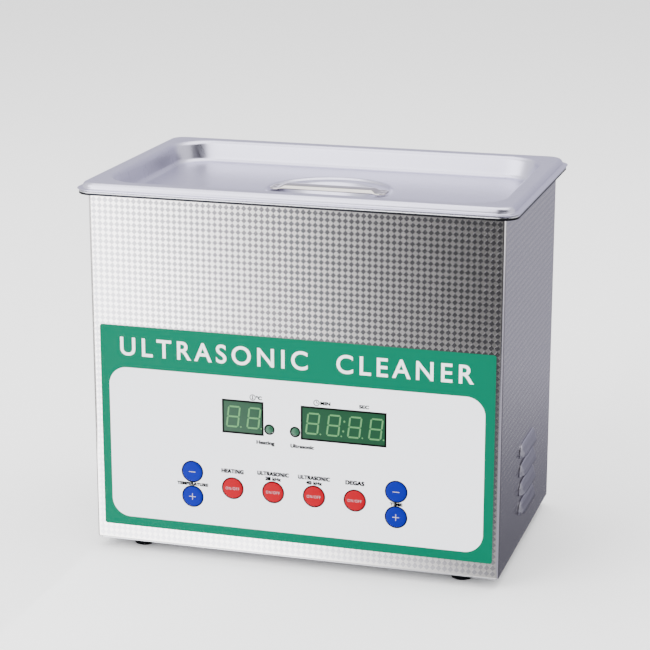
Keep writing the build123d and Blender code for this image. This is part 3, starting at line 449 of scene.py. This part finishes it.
def makeCase():
    plan, flat = casePlan()
    low, high = wrapLow.z / mm, wrapHigh.z / mm
    lowY, highY = wrapLow.y / mm, wrapHigh.y / mm
    halfX, edge, sheet = caseSheet["halfX"], caseSheet["edge"], caseSheet["sheet"]
    room, overlap = caseSheet["room"], caseSheet["overlap"]
    bottomRow, topRow = low + caseSheet["foot"], high - caseSheet["head"]
    rows = np.linspace(bottomRow, topRow, round((topRow - bottomRow) / caseSheet["pitch"]) + 1)
    # section rows: (inset, z) for the outside and for the inside one sheet further in
    outside = [(caseSheet["bottomLip"], low), (edge, low), (edge * 0.3, low + edge * 0.3), (0, low + edge)]
    firstRow = len(outside)
    outside += [(0, z) for z in rows]
    outside += [(0, high - edge), (edge * 0.3, high - edge * 0.3), (edge, high), (caseSheet["topLip"], high)]
    inside = [(max(inset, sheet), np.clip(z, low + sheet, high - sheet)) for inset, z in outside]

    def place(section):
        inset, z = np.array(section).T
        x = np.clip(plan[:, None, 0], -halfX + inset, halfX - inset)
        y = np.clip(plan[:, None, 1], lowY + inset, highY - inset)
        return np.stack([x, y, np.broadcast_to(z, x.shape)], -1)

    outer, inner = place(outside), place(inside)
    countU, countV = outer.shape[:2]
    cellV = np.broadcast_to(np.arange(countV - 1), (countU - 1, countV - 1))
    middle = (outer[:-1, :-1] + outer[1:, 1:]) / 2
    onWall = flat[:, None] & (cellV >= firstRow) & (cellV < firstRow + len(rows) - 1)
    front = middle[..., 1] < lowY + 0.01
    side = np.abs(middle[..., 0]) > halfX - 0.01
    # cells left open: behind the windows, keys and indicators, and the slits under the louvres
    opened = np.zeros_like(front)
    for name in keyNames + openings:
        boxLow, boxHigh = (np.array(c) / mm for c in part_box(name))
        opened |= front & (middle[..., 0] > boxLow[0] - room) & (middle[..., 0] < boxHigh[0] + room) & (
            middle[..., 2] > boxLow[2] - room) & (middle[..., 2] < boxHigh[2] + room)
    for foot in louvreFeet:
        opened |= side & (np.abs(middle[..., 1]) < louvre["length"] / 2 - louvre["slitEnd"]) & (
            np.abs(middle[..., 2] - foot - louvre["slitMid"]) < louvre["slitHalf"])
    # cells left plain: hidden by the panel, or pressed into the louvres
    covered = front & (middle[..., 0] > overlayLow.x / mm + overlap) & (
        middle[..., 0] < overlayHigh.x / mm - overlap) & (middle[..., 2] > overlayLow.z / mm + overlap) & (
        middle[..., 2] < overlayHigh.z / mm - overlap)
    louvred = side & (np.abs(middle[..., 1]) < louvre["length"] / 2) & (
        middle[..., 2] > louvreFeet[0] - louvre["land"]) & (
        middle[..., 2] < louvreFeet[-1] + louvre["height"] + louvre["land"])
    embossed = onWall & ~opened & ~covered & ~louvred
    kept = ~opened
    index = np.arange(countU * countV).reshape(countU, countV)
    corners = np.stack([index[:-1, :-1], index[1:, :-1], index[1:, 1:], index[:-1, 1:]], -1)
    total = countU * countV
    faces = corners[kept & ~embossed].tolist() + (corners[kept][:, ::-1] + total).tolist()
    # walls of the sheet's thickness wherever a kept cell ends
    padded = np.pad(kept, 1)
    for k, (du, dv) in enumerate(((0, -1), (1, 0), (0, 1), (-1, 0))):
        ends = kept & ~padded[1 + du:1 + du + countU - 1, 1 + dv:1 + dv + countV - 1]
        a, b = corners[ends][:, k], corners[ends][:, (k + 1) % 4]
        faces += np.column_stack([b, a, a + total, b + total]).tolist()
    # the diamonds: in the middle of each cell a low plate on sloped edges, joined to the cell's corners
    c = corners[embossed]
    quad = outer.reshape(-1, 3)[c]
    centre = quad.mean(1, keepdims=True)
    along = quad[:, 1] - quad[:, 0]
    along = (along / np.linalg.norm(along, axis=1, keepdims=True))[:, None]
    up = np.array([0, 0, 1.0])
    normal = np.cross(along, up)
    ring = np.array([(0, -1), (1, 0), (0, 1), (-1, 0)], float)[None, :, :, None]
    spread = ring[:, :, 0] * along + ring[:, :, 1] * up
    lower = centre + spread * caseSheet["diamond"]
    shallow = np.where(np.abs(normal[..., :1]) > 0.5, caseSheet["sideShare"], 1.0)
    # each land of the front leans a few degrees: its left corner stands double, its right one not at all
    lean = 1 - ring[:, :, 0] * (shallow == 1)
    raised = centre + spread * caseSheet["flat"] + normal * caseSheet["height"] * shallow * lean
    start, plainCount = 2 * total, len(faces)
    o = start + np.arange(len(c) * 4).reshape(-1, 4)
    n = o + len(c) * 4
    for k in range(4):
        after = (k + 1) % 4
        faces += np.column_stack([c[:, k], c[:, after], o[:, k]]).tolist()
        faces += np.column_stack([c[:, after], o[:, after], o[:, k]]).tolist()
        faces += np.column_stack([o[:, k], o[:, after], n[:, after], n[:, k]]).tolist()
    faces += n.tolist()
    points = np.concatenate([part.reshape(-1, 3) for part in (outer, inner, lower, raised)])
    piece = meshObject("case_sheet", points * mm, faces, finishes["embossed_steel"], "cleaner",
                       False)
    # the painted shade of a face: none on the ground, full on a diamond's sloped edges and top, less on the
    # sides
    shadeMark = piece.data.attributes.new("emboss", "FLOAT", "FACE")
    value = np.zeros(len(faces), np.float32)
    tone = np.where(shallow.ravel() == 1, 1.0, caseSheet["sideShade"])
    for k in range(4):
        first = plainCount + (3 * k + 2) * len(c)
        value[first:first + len(c)] = tone
    value[-len(c):] = tone
    shadeMark.data.foreach_set("value", value)
    work = bmesh.new()
    work.from_mesh(piece.data)
    bmesh.ops.remove_doubles(work, verts=work.verts, dist=mergeGap)
    bmesh.ops.dissolve_degenerate(work, edges=work.edges, dist=mergeGap)
    work.to_mesh(piece.data)
    work.free()
    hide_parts("case_wrap")
    return len(c)


print("case sheet:", makeCase(), "diamonds")


def makeLouvres():
    # each hood: e = 1 - |u|^9 closes its ends, and it stands out nearly in line from top to foot
    along, down = louvre["steps"]
    u, v = np.meshgrid(np.linspace(-1, 1, along), np.linspace(0, 1, down), indexing="ij")
    e = np.clip(1 - np.abs(u) ** 9, 0.02, 1)
    points, faces = [], []
    for side in (-1, 1):
        for foot in louvreFeet:
            x = side * (caseSheet["halfX"] - louvre["sunk"] + louvre["out"] * v ** 0.85 * e)
            z = foot + louvre["height"] * (1 - v) * e ** 0.6
            hood = np.stack([x, u * louvre["length"] / 2, z], -1).reshape(-1, 3)
            quads = np.array(gridFaces(along, down, False)) + len(points) * len(hood)
            faces += (quads if side < 0 else quads[:, ::-1]).tolist()
            points.append(hood)
    piece = meshObject("louvre_hoods", np.concatenate(points) * mm, faces, shadedHoodSheet, "cleaner")
    thicken(piece, louvre["sheet"] * mm)


makeLouvres()

# lid: one pressed sheet from its lip to the middle of the finger dish, heights from the lid's own top
lid = {
    "sheet": 0.8, "lipOut": 3.2, "lipR": 12.0, "shoulderR": 3.0, "rimHeight": 4.65, "rim": 12.0,
    "recessR": 25.0, "edgeR": 3.5, "deep": 13.5, "floorR": 4.0, "wall": 12.0,  # wall is its lean in degrees
    "ledge": 40.0, "drop": 1.2, "dish": 31.5, "dishDeep": 13.0,  # radii and depths of the round steps
}


def makeLid():
    # a run of rounded rectangles inwards, then circles: l the lip, s the shoulder, r the recess
    top, lipTop = lidHigh.z / mm, lidHigh.z / mm - lid["rimHeight"] + lid["sheet"]
    lx, ly, lc = lidHigh.x / mm, lidHigh.y / mm, lid["lipR"]
    sx, sy, sc = lx - lid["lipOut"], ly - lid["lipOut"] + 0.5, lc - 1.5
    rx, ry, rc = sx - lid["rim"], sy - lid["rim"] - 0.5, lid["recessR"]
    r, e, f = lid["shoulderR"], lid["edgeR"], lid["floorR"]
    rectangles = [(lx, ly, lc, lipTop - 0.35), (lx - 0.1, ly - 0.1, lc, lipTop - 0.1),
                  (lx - 0.4, ly - 0.4, lc, lipTop), (sx + 1.2, sy + 1.2, sc + 1, lipTop),
                  (sx + 0.35, sy + 0.35, sc, lipTop + 0.15),
                  (sx, sy, sc, lipTop + 0.6)]
    rectangles += arcRings(sx - r, sy - r, sc - r, top - r, r)
    rectangles += [(rx + e + 3, ry + e + 3, rc - 9, top), (rx + e, ry + e, rc - 2, top)]
    # over the recess's edge, down its wall, then the floor's bend
    lean = math.radians(lid["wall"])
    for a in np.linspace(0.15, math.pi / 2 - lean, 7):
        rectangles.append((rx + e - e * math.sin(a), ry + e - e * math.sin(a), rc, top - e + e * math.cos(a)))
    x0, z0 = rectangles[-1][0], rectangles[-1][3]
    floor = top - lid["deep"]
    z1 = floor + f - f * math.sin(lean)
    x1 = x0 - (z0 - z1) * math.tan(lean)
    for a in np.linspace(lean, math.pi / 2, 9):
        hx = x1 - f * math.cos(lean) + f * math.cos(a)
        rectangles.append((hx, hx - rx + ry, rc - (rx - hx) * 0.6, floor + f - f * math.sin(a)))
    ledge = floor - lid["drop"]
    ball = (lid["dish"] ** 2 + lid["dishDeep"] ** 2) / (2 * lid["dishDeep"])
    circles = [(lid["ledge"] + 3, floor), (lid["ledge"] + 0.9, floor), (lid["ledge"] + 0.35, floor - 0.25),
               (lid["ledge"] - 0.2, ledge + 0.25), (lid["ledge"] - 0.9, ledge), (lid["dish"] + 2.2, ledge),
               (lid["dish"] + 0.8, ledge - 0.12), (lid["dish"], ledge - 0.6)]
    for radius in np.linspace(lid["dish"] - 1.2, 1.5, 14):
        circles.append((radius, ledge - lid["dishDeep"] + ball - math.sqrt(ball ** 2 - radius ** 2)))
    circles.append((0, ledge - lid["dishDeep"]))
    points, faces = loopSurface(rectangles, circles)
    piece = meshObject("lid_sheet", points, faces, finishes["polished_steel"], "lid")
    thicken(piece, lid["sheet"] * mm)
    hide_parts("lid")
    return ledge


ledgeTop = makeLid()

# tank: a flat flange with its edge turned down, a round-cornered mouth, tapered walls and a flat floor
tank = {"flangeR": 11.0, "hem": 2.5, "hemR": 1.5, "mouth": (126.0, 74.5, 27.0), "mouthR": 1.4,
        "deep": 100.0, "taper": 3.4, "floorR": 12.0, "sheet": 0.8}


def makeTank():
    top = tankHigh.z / mm
    fx, fy, fc = tankHigh.x / mm, tankHigh.y / mm, tank["flangeR"]
    mx, my, mc = tank["mouth"]
    h, e, f = tank["hemR"], tank["mouthR"], tank["floorR"]
    rectangles = [(fx, fy, fc, top - tank["hem"])] + arcRings(fx - h, fy - h, fc - h, top - h, h)
    rectangles += [(mx + e + 4, my + e + 4, mc - 4, top)]
    lean = math.radians(tank["taper"])
    for a in np.linspace(0, math.pi / 2 - lean, 6):
        rectangles.append((mx + e - e * math.sin(a), my + e - e * math.sin(a), mc, top - e + e * math.cos(a)))
    x0, z0 = rectangles[-1][0], rectangles[-1][3]
    floor = top - tank["deep"]
    z1 = floor + f - f * math.sin(lean)
    for share in np.linspace(0.1, 1, 10):
        hx = x0 - (z0 - z1) * share * math.tan(lean)
        rectangles.append((hx, hx - mx + my, mc - (mx - hx), z0 + (z1 - z0) * share))
    x1 = rectangles[-1][0]
    for a in np.linspace(lean, math.pi / 2, 9)[1:]:
        hx = x1 - f * math.cos(lean) + f * math.cos(a)
        rectangles.append((hx, hx - mx + my, max(mc - (mx - hx), 6.0), floor + f - f * math.sin(a)))
    points, faces = loopSurface(rectangles, [(40, floor), (20, floor), (6, floor), (0, floor)])
    piece = meshObject("tank_sheet", points, faces, finishes["tank_steel"], "cleaner")
    # the flange's turned-down edge, its lowest two rings of faces, is painted dark: painted shadow of the gap
    # under the lid's lip
    piece.data.materials.append(gapShadowSteel)
    gapShadowBand = np.zeros(len(faces), np.int32)
    gapShadowBand[:2 * loopCount] = 1
    piece.data.polygons.foreach_set("material_index", gapShadowBand)
    thicken(piece, tank["sheet"] * mm)
    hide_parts("tank")


makeTank()
print("lid and tank pressed")

# strap: a handle bridging the dish, spot welded through a tab at each end
strap = {"half": 38.5, "width": 13.0, "tabWidth": 14.6, "rise": 3.0, "sheet": 1.0, "wall": 0.85, "curl": 1.7,
         "level": 33.5, "ramp": 5.0, "endRound": 3.0, "weld": (35.5, 3.2), "dimple": 0.5, "dimpleSpread": 0.9,
         "steps": (121, 25)}


def makeStrap():
    # height eases from the tabs to the level middle; the edges roll down as the fourth power across
    # each weld is a dimple, a bell curve of its depth and spread
    long, wide = strap["steps"]
    x, t = np.meshgrid(np.linspace(-strap["half"], strap["half"], long), np.linspace(-1, 1, wide),
                       indexing="ij")
    ease = np.clip((strap["level"] - np.abs(x)) / strap["ramp"], 0, 1)
    ease = ease * ease * (3 - 2 * ease)
    end = np.clip((strap["half"] - np.abs(x)) / strap["endRound"], 0, 1)
    width = (strap["width"] * ease + strap["tabWidth"] * (1 - ease)) * np.sqrt(0.35 + 0.65 * end)
    z = ledgeTop + strap["sheet"] + (strap["rise"] - strap["sheet"]) * ease - strap["curl"] * ease * t ** 4
    y = t * width / 2
    weldX, weldY = strap["weld"]
    for sx, sy in ((-1, -1), (-1, 1), (1, -1), (1, 1)):
        away = (x - sx * weldX) ** 2 + (y - sy * weldY) ** 2
        z = z - strap["dimple"] * np.exp(-away / strap["dimpleSpread"])
    points = np.stack([x, y, z], -1).reshape(-1, 3)
    piece = meshObject("strap_sheet", points * mm, gridFaces(long, wide, False), buffedSteel, "lid")
    thicken(piece, strap["wall"] * mm)
    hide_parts("lid_strap")


makeStrap()


# keys: a slightly domed cap, its flange behind the panel and its stem, in depths behind its face
keycap = {"radius": 6.55, "dome": 0.3, "domeTo": 5.9, "shoulder": ((6.3, 0.42), (6.5, 0.62), (6.55, 0.9)),
          "flange": 7.8, "flangeFront": 1.95, "flangeBack": 2.75, "stem": 1.7}


def makeKey(name):
    # the dome falls as the fourth power of the distance from the middle
    low, high = (np.array(c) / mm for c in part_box(name))
    centre = ((low[0] + high[0]) / 2, (low[2] + high[2]) / 2)
    face, back, radius = low[1], high[1], keycap["radius"]
    flangeFront, flangeBack = face + keycap["flangeFront"], face + keycap["flangeBack"]
    profile = [(r, face + keycap["dome"] * (r / radius) ** 4) for r in np.linspace(0.0, keycap["domeTo"], 10)]
    profile += [(r, face + deep) for r, deep in keycap["shoulder"]]
    profile += [(radius, flangeFront), (keycap["flange"], flangeFront), (keycap["flange"], flangeBack),
                (keycap["stem"], flangeBack), (keycap["stem"], back), (0, back)]
    piece = lathe(name + "_cap", profile, centre, finishes[slotOf[name]], name)
    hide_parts(name)
    return centre, face


keyPlaces = {name: makeKey(name) for name in keyNames}
panelFace = overlayLow.y / mm


def flatPrint(name, outlines, y, material, body, proud=0.04):
    # flat closed shapes given as arrays of (x, z), each a thin plate standing just proud of the face
    points, faces = [], []
    for outline in outlines:
        n, start = len(outline), sum(len(p) for p in points)
        frontSide = np.column_stack([outline[:, 0], np.full(n, y - proud), outline[:, 1]])
        backSide = frontSide + (0, proud, 0)
        points += [frontSide, backSide]
        ring = start + np.arange(n)
        faces += [ring.tolist(), (ring[::-1] + n).tolist()]
        faces += np.column_stack([np.roll(ring, -1), ring, ring + n, np.roll(ring, -1) + n]).tolist()
    return meshObject(name, np.concatenate(points) * mm, faces, material, body, False)


def bar(midX, midZ, width, height):
    # an upright rectangle about its middle
    return np.array([(-1, -1), (1, -1), (1, 1), (-1, 1)]) * (width / 2, height / 2) + (midX, midZ)


def ringQuads(midX, midZ, inner, outer):
    # a flat ring as a row of quads
    count = 48
    turn = np.linspace(0, 2 * math.pi, count + 1)
    rim = np.column_stack([np.cos(turn), np.sin(turn)])
    return [np.array([rim[k] * inner, rim[k] * outer, rim[k + 1] * outer, rim[k + 1] * inner]) + (midX, midZ)
            for k in range(count)]


# type: capitals as a share of the face's size, the ink's half thickness, and the step between overprints
inkType = {"capitals": 0.73, "ink": 0.02, "step": 0.003}


def lettering(name, words, midX, midZ, height, width, y, material, body, slotName, spacing=1.0, weight=0.0,
              bold=0.0):
    # set in the plain built-in face to a given height of capitals and width, made a mesh in its place
    # weight swells the outlines; bold overprints the words a little to each side, for small type
    curve = bpy.data.curves.new(name, "FONT")
    curve.body, curve.align_x, curve.align_y = words, "CENTER", "CENTER"
    curve.size, curve.space_character, curve.offset = height / inkType["capitals"], spacing, weight
    curve.extrude, curve.resolution_u = inkType["ink"], 6
    holder = bpy.data.objects.new(name + "_line", curve)
    bpy.context.scene.collection.objects.link(holder)
    bpy.context.view_layer.update()
    mesh = bpy.data.meshes.new_from_object(holder.evaluated_get(bpy.context.evaluated_depsgraph_get()))
    bpy.data.objects.remove(holder)
    co = np.zeros(len(mesh.vertices) * 3)
    mesh.vertices.foreach_get("co", co)
    co = co.reshape(-1, 3)
    middle = (co.min(0) + co.max(0)) / 2
    stretch = width / np.ptp(co[:, 0])
    placed = np.column_stack([midX + (co[:, 0] - middle[0]) * stretch, y - inkType["ink"] - co[:, 2],
                              midZ + co[:, 1] - middle[1]])
    faces = [list(p.vertices) for p in mesh.polygons]
    bpy.data.meshes.remove(mesh)
    shifts = [(0, 0)]
    if bold:
        shifts = [(-bold, -bold / 2), (bold, bold / 2), (-bold, bold / 2), (bold, -bold / 2)]
    prints = [placed + (dx, -inkType["step"] * k, dz) for k, (dx, dz) in enumerate(shifts)]
    every = [[v + k * len(placed) for v in face] for k in range(len(shifts)) for face in faces]
    return meshObject(name, np.concatenate(prints) * mm, every, material, body, False)


# marks on the keys: bars for plus and minus, words for the four switches, and a printed ring round each
# the rings and borders are wider than a real print's, so that they show
keyMark = {"bar": 4.3, "stroke": 0.38, "arm": 1.96, "wordHeight": 2.0, "wordWidth": 9.0, "ring": (6.6, 7.3)}
for name, ((x, z), face) in keyPlaces.items():
    if name.endswith(("_plus", "_minus")):
        marks = [bar(x, z, keyMark["bar"], keyMark["stroke"])]
        if name.endswith("_plus"):
            armMid = (keyMark["stroke"] + keyMark["arm"]) / 2
            marks += [bar(x, z + s * armMid, keyMark["stroke"], keyMark["arm"]) for s in (-1, 1)]
        flatPrint(name + "_mark", marks, face + 0.02, keyPrint, name)
    else:
        lettering(name + "_mark", "ON/OFF", x, z, keyMark["wordHeight"], keyMark["wordWidth"], face, keyPrint,
                  name, slotOf[name], 1.25, -0.035)
    flatPrint(name + "_outline", ringQuads(x, z, *keyMark["ring"]), panelFace, blackPrint, "cleaner")

# displays: slanted seven-segment digits behind tinted acrylic, with a black border
digit = {"height": 14.6, "width": 8.8, "inset": 0.75, "stroke": 1.05, "slant": 0.12, "gap": 0.18,
         "pitch": 13.5, "right": 0.5, "point": (4.9, 0.8), "colon": ((0.6, 3.2), (-0.1, -3.2)),
         "colonR": 0.65, "border": 1.2}


def segmentOutlines(midX, midZ):
    # hexagonal bars between the corners of two stacked squares, sheared by the slant
    w, h = digit["width"] / 2 - digit["inset"], digit["height"] / 2 - digit["inset"]
    s, g = digit["stroke"] / 2, digit["gap"]
    ends = [((-w, h), (w, h)), ((w, 0), (w, h)), ((w, -h), (w, 0)), ((-w, -h), (w, -h)),
            ((-w, -h), (-w, 0)), ((-w, 0), (-w, h)), ((-w, 0), (w, 0))]
    out = []
    for a, b in ends:
        a, b = np.array(a, float), np.array(b, float)
        along = (b - a) / np.linalg.norm(b - a)
        across = np.array([-along[1], along[0]])
        a, b = a + along * g, b - along * g
        hexagon = np.array([a, a + (along - across) * s, b - (along + across) * s, b,
                            b - (along - across) * s, a + (along + across) * s])
        hexagon[:, 0] += hexagon[:, 1] * digit["slant"]
        out.append(hexagon + (midX, midZ))
    return out


def dot(midX, midZ, radius=0.5):
    # a small disc as a polygon of sixteen sides
    turn = np.linspace(0, 2 * math.pi, 16, endpoint=False)
    return np.column_stack([midX + radius * np.cos(turn), midZ + radius * np.sin(turn)])


for word, count in (("temperature", 2), ("timer", 4)):
    low, high = (np.array(c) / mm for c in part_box(word + "_window"))
    midX, midZ = (low[0] + high[0]) / 2, (low[2] + high[2]) / 2
    shapes = []
    for k in range(count):
        x = midX + digit["right"] + (k - (count - 1) / 2) * digit["pitch"]
        shapes += segmentOutlines(x, midZ)
        shapes.append(dot(x + digit["point"][0], midZ - digit["height"] / 2 + digit["point"][1]))
    if count == 4:
        shapes += [dot(midX + dx, midZ + dz, digit["colonR"]) for dx, dz in digit["colon"]]
    flatPrint(word + "_digits", shapes, low[1], segmentPrint, "cleaner", 0.03)
    width, height, line = high[0] - low[0], high[2] - low[2], digit["border"]
    border = [bar(midX, midZ + s * height / 2, width + line, line) for s in (-1, 1)]
    border += [bar(midX + s * width / 2, midZ, line, height - line) for s in (-1, 1)]
    flatPrint(word + "_border", border, panelFace, blackPrint, "cleaner")

# indicators: a domed lens that fills its hole, with a wider collar behind, in a printed black ring
lens = {"radius": 2.5, "setBack": 0.35, "dome": 0.45, "collar": 2.9, "collarDeep": 1.0, "ring": (2.62, 3.5)}
for name in ("heating_led", "ultrasonic_led"):
    low, high = (np.array(c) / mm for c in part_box(name))
    centre = ((low[0] + high[0]) / 2, (low[2] + high[2]) / 2)
    profile = [(r, panelFace - lens["setBack"] + lens["dome"] * (r / lens["radius"]) ** 2)
               for r in np.linspace(0.0, lens["radius"], 8)]
    collarFront = high[1] - lens["collarDeep"]
    profile += [(lens["radius"] + 0.1, collarFront - 0.1), (lens["collar"], collarFront),
                (lens["collar"], high[1]), (0, high[1])]
    piece = lathe(name + "_lens", profile, centre, finishes[slotOf[name]], "cleaner", 40)
    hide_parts(name)
    flatPrint(name + "_ring", ringQuads(*centre, *lens["ring"]), panelFace, blackPrint, "cleaner")

# words on the panel: plain functional labels and the kind of machine
# small words are overprinted, bolder than a real print's, so that they show
caseFoot = wrapLow.z / mm
smallType = {"spacing": 1.12, "weight": 0.04, "bold": 0.27}
smallerType = {"spacing": 1.05, "weight": 0.02, "bold": 0.2}
# words, the key they stand over, their height over its middle, and the height and width of the words
labels = [("TEMPERATURE", "key_temp_plus", 8.3, 1.9, 20.4), ("TIME", "key_time_plus", 8.3, 1.9, 7.6),
          ("HEATING", "key_heating", 11.3, 2.6, 14.4), ("DEGAS", "key_degas", 11.5, 2.6, 11.8),
          ("ULTRASONIC", "key_ultrasonic_low", 12.1, 2.5, 20.4),
          ("28 kHz", "key_ultrasonic_low", 8.8, 2.2, 9.8),
          ("ULTRASONIC", "key_ultrasonic_high", 12.1, 2.5, 20.4),
          ("40 kHz", "key_ultrasonic_high", 8.8, 2.2, 9.8)]
for k, (words, key, lift, height, width) in enumerate(labels):
    (x, z), _ = keyPlaces[key]
    lettering(f"label_{k}", words, x, z + lift, height, width, panelFace, blackPrint, "cleaner",
              "overlay_print", **smallType)
# words, the place of their middle over the case's foot, and their height and width
captions = [("Heating", -17.4, 74.2, 2.4, 11.6), ("Ultrasonic", 6.6, 74.2, 2.4, 15.0),
            ("°C", -21.5, 103.4, 2.2, 3.6), ("MIN", 21.6, 103.6, 2.1, 6.2), ("SEC", 46.4, 103.6, 2.1, 6.0)]
for k, (words, x, z, height, width) in enumerate(captions):
    lettering(f"caption_{k}", words, x, caseFoot + z, height, width, panelFace, blackPrint, "cleaner",
              "overlay_print", **smallerType)

# two small signs: a clock of a ring and two hands, a thermometer of a ring, a stem and a bulb
icon = {"ring": (1.5, 2.0), "clockX": 15.9, "thermometerX": -25.6, "z": caseFoot + 103.6}
hands = [bar(icon["clockX"], icon["z"] + 0.55, 0.5, 1.1),
         bar(icon["clockX"] + 0.6, icon["z"] - 0.1, 1.0, 0.5)]
flatPrint("clock_icon", ringQuads(icon["clockX"], icon["z"], *icon["ring"]) + hands, panelFace, blackPrint,
          "cleaner")
stem = [bar(icon["thermometerX"], icon["z"] + 0.3, 0.6, 1.5), dot(icon["thermometerX"], icon["z"] - 0.9)]
flatPrint("thermometer_icon", ringQuads(icon["thermometerX"], icon["z"] - 0.2, *icon["ring"]) + stem,
          panelFace, blackPrint, "cleaner")

title = {"x": 0.8, "z": caseFoot + 129.9, "height": 12.2, "width": 228.0, "spacing": 1.34, "weight": 0.24}
lettering("title", "ULTRASONIC  CLEANER", title["x"], title["z"], title["height"], title["width"], panelFace,
          whitePrint, "cleaner", "overlay_print", title["spacing"], title["weight"])
print("panel printed")

# pieces that keep their own shapes, by the width of their rounded edges in millimetres
for name, width in (("rear_panel", 0.15), ("base_plate", 0.2), ("mains_inlet", 0.5), ("fuse_drawer", 0.4),
                    ("switch_housing", 0.4), ("rocker", 0.5), ("fan_frame", 0.3), ("fan_rotor", 0.25),
                    ("case_screws", 0.25), ("foot_screws", 0.25), ("fan_screws", 0.25), ("inlet_pins", 0.3),
                    ("feet", 0.6)):
    finishEdges(name, width)
print("edges rounded")

# camera: in front, to the right and above the lid; yaw and pitch in degrees, lens in millimetres
view = {"place": (0.3704, -1.2604, 0.4984), "yaw": 16.49, "pitch": 15.35, "lens": 115.8}
cameraData = bpy.data.cameras.new("camera")
cameraData.lens, cameraData.sensor_width = view["lens"], 36
camera = bpy.data.objects.new("camera", cameraData)
bpy.context.scene.collection.objects.link(camera)
yaw, pitch = math.radians(view["yaw"]), math.radians(view["pitch"])
aim = Vector((-math.sin(yaw) * math.cos(pitch), math.cos(yaw) * math.cos(pitch), -math.sin(pitch)))
camera.location = view["place"]
camera.rotation_euler = aim.to_track_quat("-Z", "Y").to_euler()
bpy.context.scene.camera = camera


# studio: a pale floor in a white room, with two soft lights from the front left and from above
def softLight(name, place, target, size, power):
    data = bpy.data.lights.new(name, "AREA")
    data.shape, data.size, data.size_y, data.energy = "RECTANGLE", size[0], size[1], power
    lamp = bpy.data.objects.new(name, data)
    bpy.context.scene.collection.objects.link(lamp)
    lamp.location = place
    lamp.rotation_euler = (Vector(target) - Vector(place)).to_track_quat("-Z", "Y").to_euler()


softLight("keyLight", (-1.3, -1.6, 1.3), (0, 0, 0.12), (1.6, 1.6), 52)
softLight("topLight", (0.1, 0.2, 1.9), (0, 0, 0.2), (2.2, 1.8), 44)


def stageSheet(name, points, material, inReflections=False):
    mesh = bpy.data.meshes.new(name)
    mesh.from_pydata(points, [], [list(range(len(points)))])
    mesh.materials.append(material)
    sheet = bpy.data.objects.new(name, mesh)
    bpy.context.scene.collection.objects.link(sheet)
    if inReflections:
        # seen by the steel alone: it neither lights nor shades the pale surfaces
        sheet.visible_camera = sheet.visible_diffuse = sheet.visible_shadow = False


def studioCard(name, corners, first, last, direction, start, end, tint=(1.0, 1.0, 1.0, 1.0)):
    # a glowing board for reflections, its tone running smoothly from first to last along a direction,
    # between two distances from the origin
    material = bpy.data.materials.new(name)
    material.use_nodes = True
    tree = material.node_tree
    tree.nodes.clear()
    place = addNode(tree, "ShaderNodeTexCoord")
    along = addNode(tree, "ShaderNodeVectorMath", {"operation": "DOT_PRODUCT"}, i0=place.outputs["Object"],
                    i1=direction)
    share = addNode(tree, "ShaderNodeMapRange", {"interpolation_type": "SMOOTHSTEP"},
                    Value=along.outputs["Value"], From_Min=start, From_Max=end, To_Min=0.0, To_Max=1.0)
    fall = addNode(tree, "ShaderNodeMath", {"operation": "POWER"}, i0=last / first, i1=share.outputs[0])
    tone = addNode(tree, "ShaderNodeMath", {"operation": "MULTIPLY"}, i0=fall.outputs[0], i1=first)
    glow = addNode(tree, "ShaderNodeEmission", Strength=tone.outputs[0], Color=tint)
    tree.links.new(glow.outputs[0], addNode(tree, "ShaderNodeOutputMaterial").inputs[0])
    stageSheet(name, corners, material, True)


def onFloor(corners, z):
    # corners of a sheet lying level
    return [(x, y, z) for x, y in corners]


def upright(lowX, highX, lowZ, highZ, lowY, highY):
    # corners of a board standing on its long edge, its top at another Y where it leans
    return [(lowX, lowY, lowZ), (highX, lowY, lowZ), (highX, highY, highZ), (lowX, highY, highZ)]


lavender = (0.84, 0.82, 1.0, 1.0)
floorCloth = newMaterial("paleFloor", "FFFFFF", 0.0, 0.9)[0]
stageSheet("floor", onFloor([(-6, -6), (6, -6), (6, 6), (-6, 6)], -0.0002), floorCloth)
# for the front: white to the left, falling to dark at the upper right
studioCard("frontCard", upright(-0.5, 0.3, 0.0, 0.28, -0.5, -0.5), 9.0, 0.09, (1.0, 0.0, 0.3), -0.27, 0.19)
studioCard("frontCloth", onFloor([(-0.44, -0.5), (0.15, -0.5), (0.136, -0.09), (-0.2, -0.09)], 0.001),
           9.0, 0.22, (1.0, -0.6, 0.0), 0.02, 0.3)
studioCard("highCard", upright(-1.0, 1.2, 0.28, 1.1, -0.5, -0.3), 5.0, 0.05, (1.0, 0.0, 0.0), 0.02, 0.26)
# for the right side and its front corner: faintly lavender, dark beside the case
studioCard("sideCloth", onFloor([(0.134, -0.085), (1.4, -0.085), (1.4, 2.0), (0.134, 2.0)], 0.001),
           0.2, 0.56, (0.3, 1.0, 0.0), -0.05, 0.5, lavender)
studioCard("cornerCloth", onFloor([(0.15, -0.6), (0.9, -0.6), (0.9, -0.085), (0.136, -0.085)], 0.001),
           0.8, 1.1, (1.0, 0.0, 0.0), 0.1, 0.9, lavender)
# for the left side, then for the lid
studioCard("leftCloth", onFloor([(-2.2, -2.2), (-0.134, -2.2), (-0.134, 1.2), (-2.2, 1.2)], 0.0005),
           0.7, 2.6, (-1.0, 0.0, 0.0), 0.1, 1.6)
studioCard("backCard", upright(-2.2, 1.4, 0.0, 1.3, 1.3, 1.3),
           1.15, 1.35, (0.0, 0.0, 1.0), 0.3, 1.2, lavender)
# the white room itself
world = bpy.data.worlds.new("studio")
bpy.context.scene.world = world
world.use_nodes = True
world.node_tree.nodes["Background"].inputs["Color"].default_value = (1, 1, 1, 1)
world.node_tree.nodes["Background"].inputs["Strength"].default_value = 1.7

print("camera and studio set")
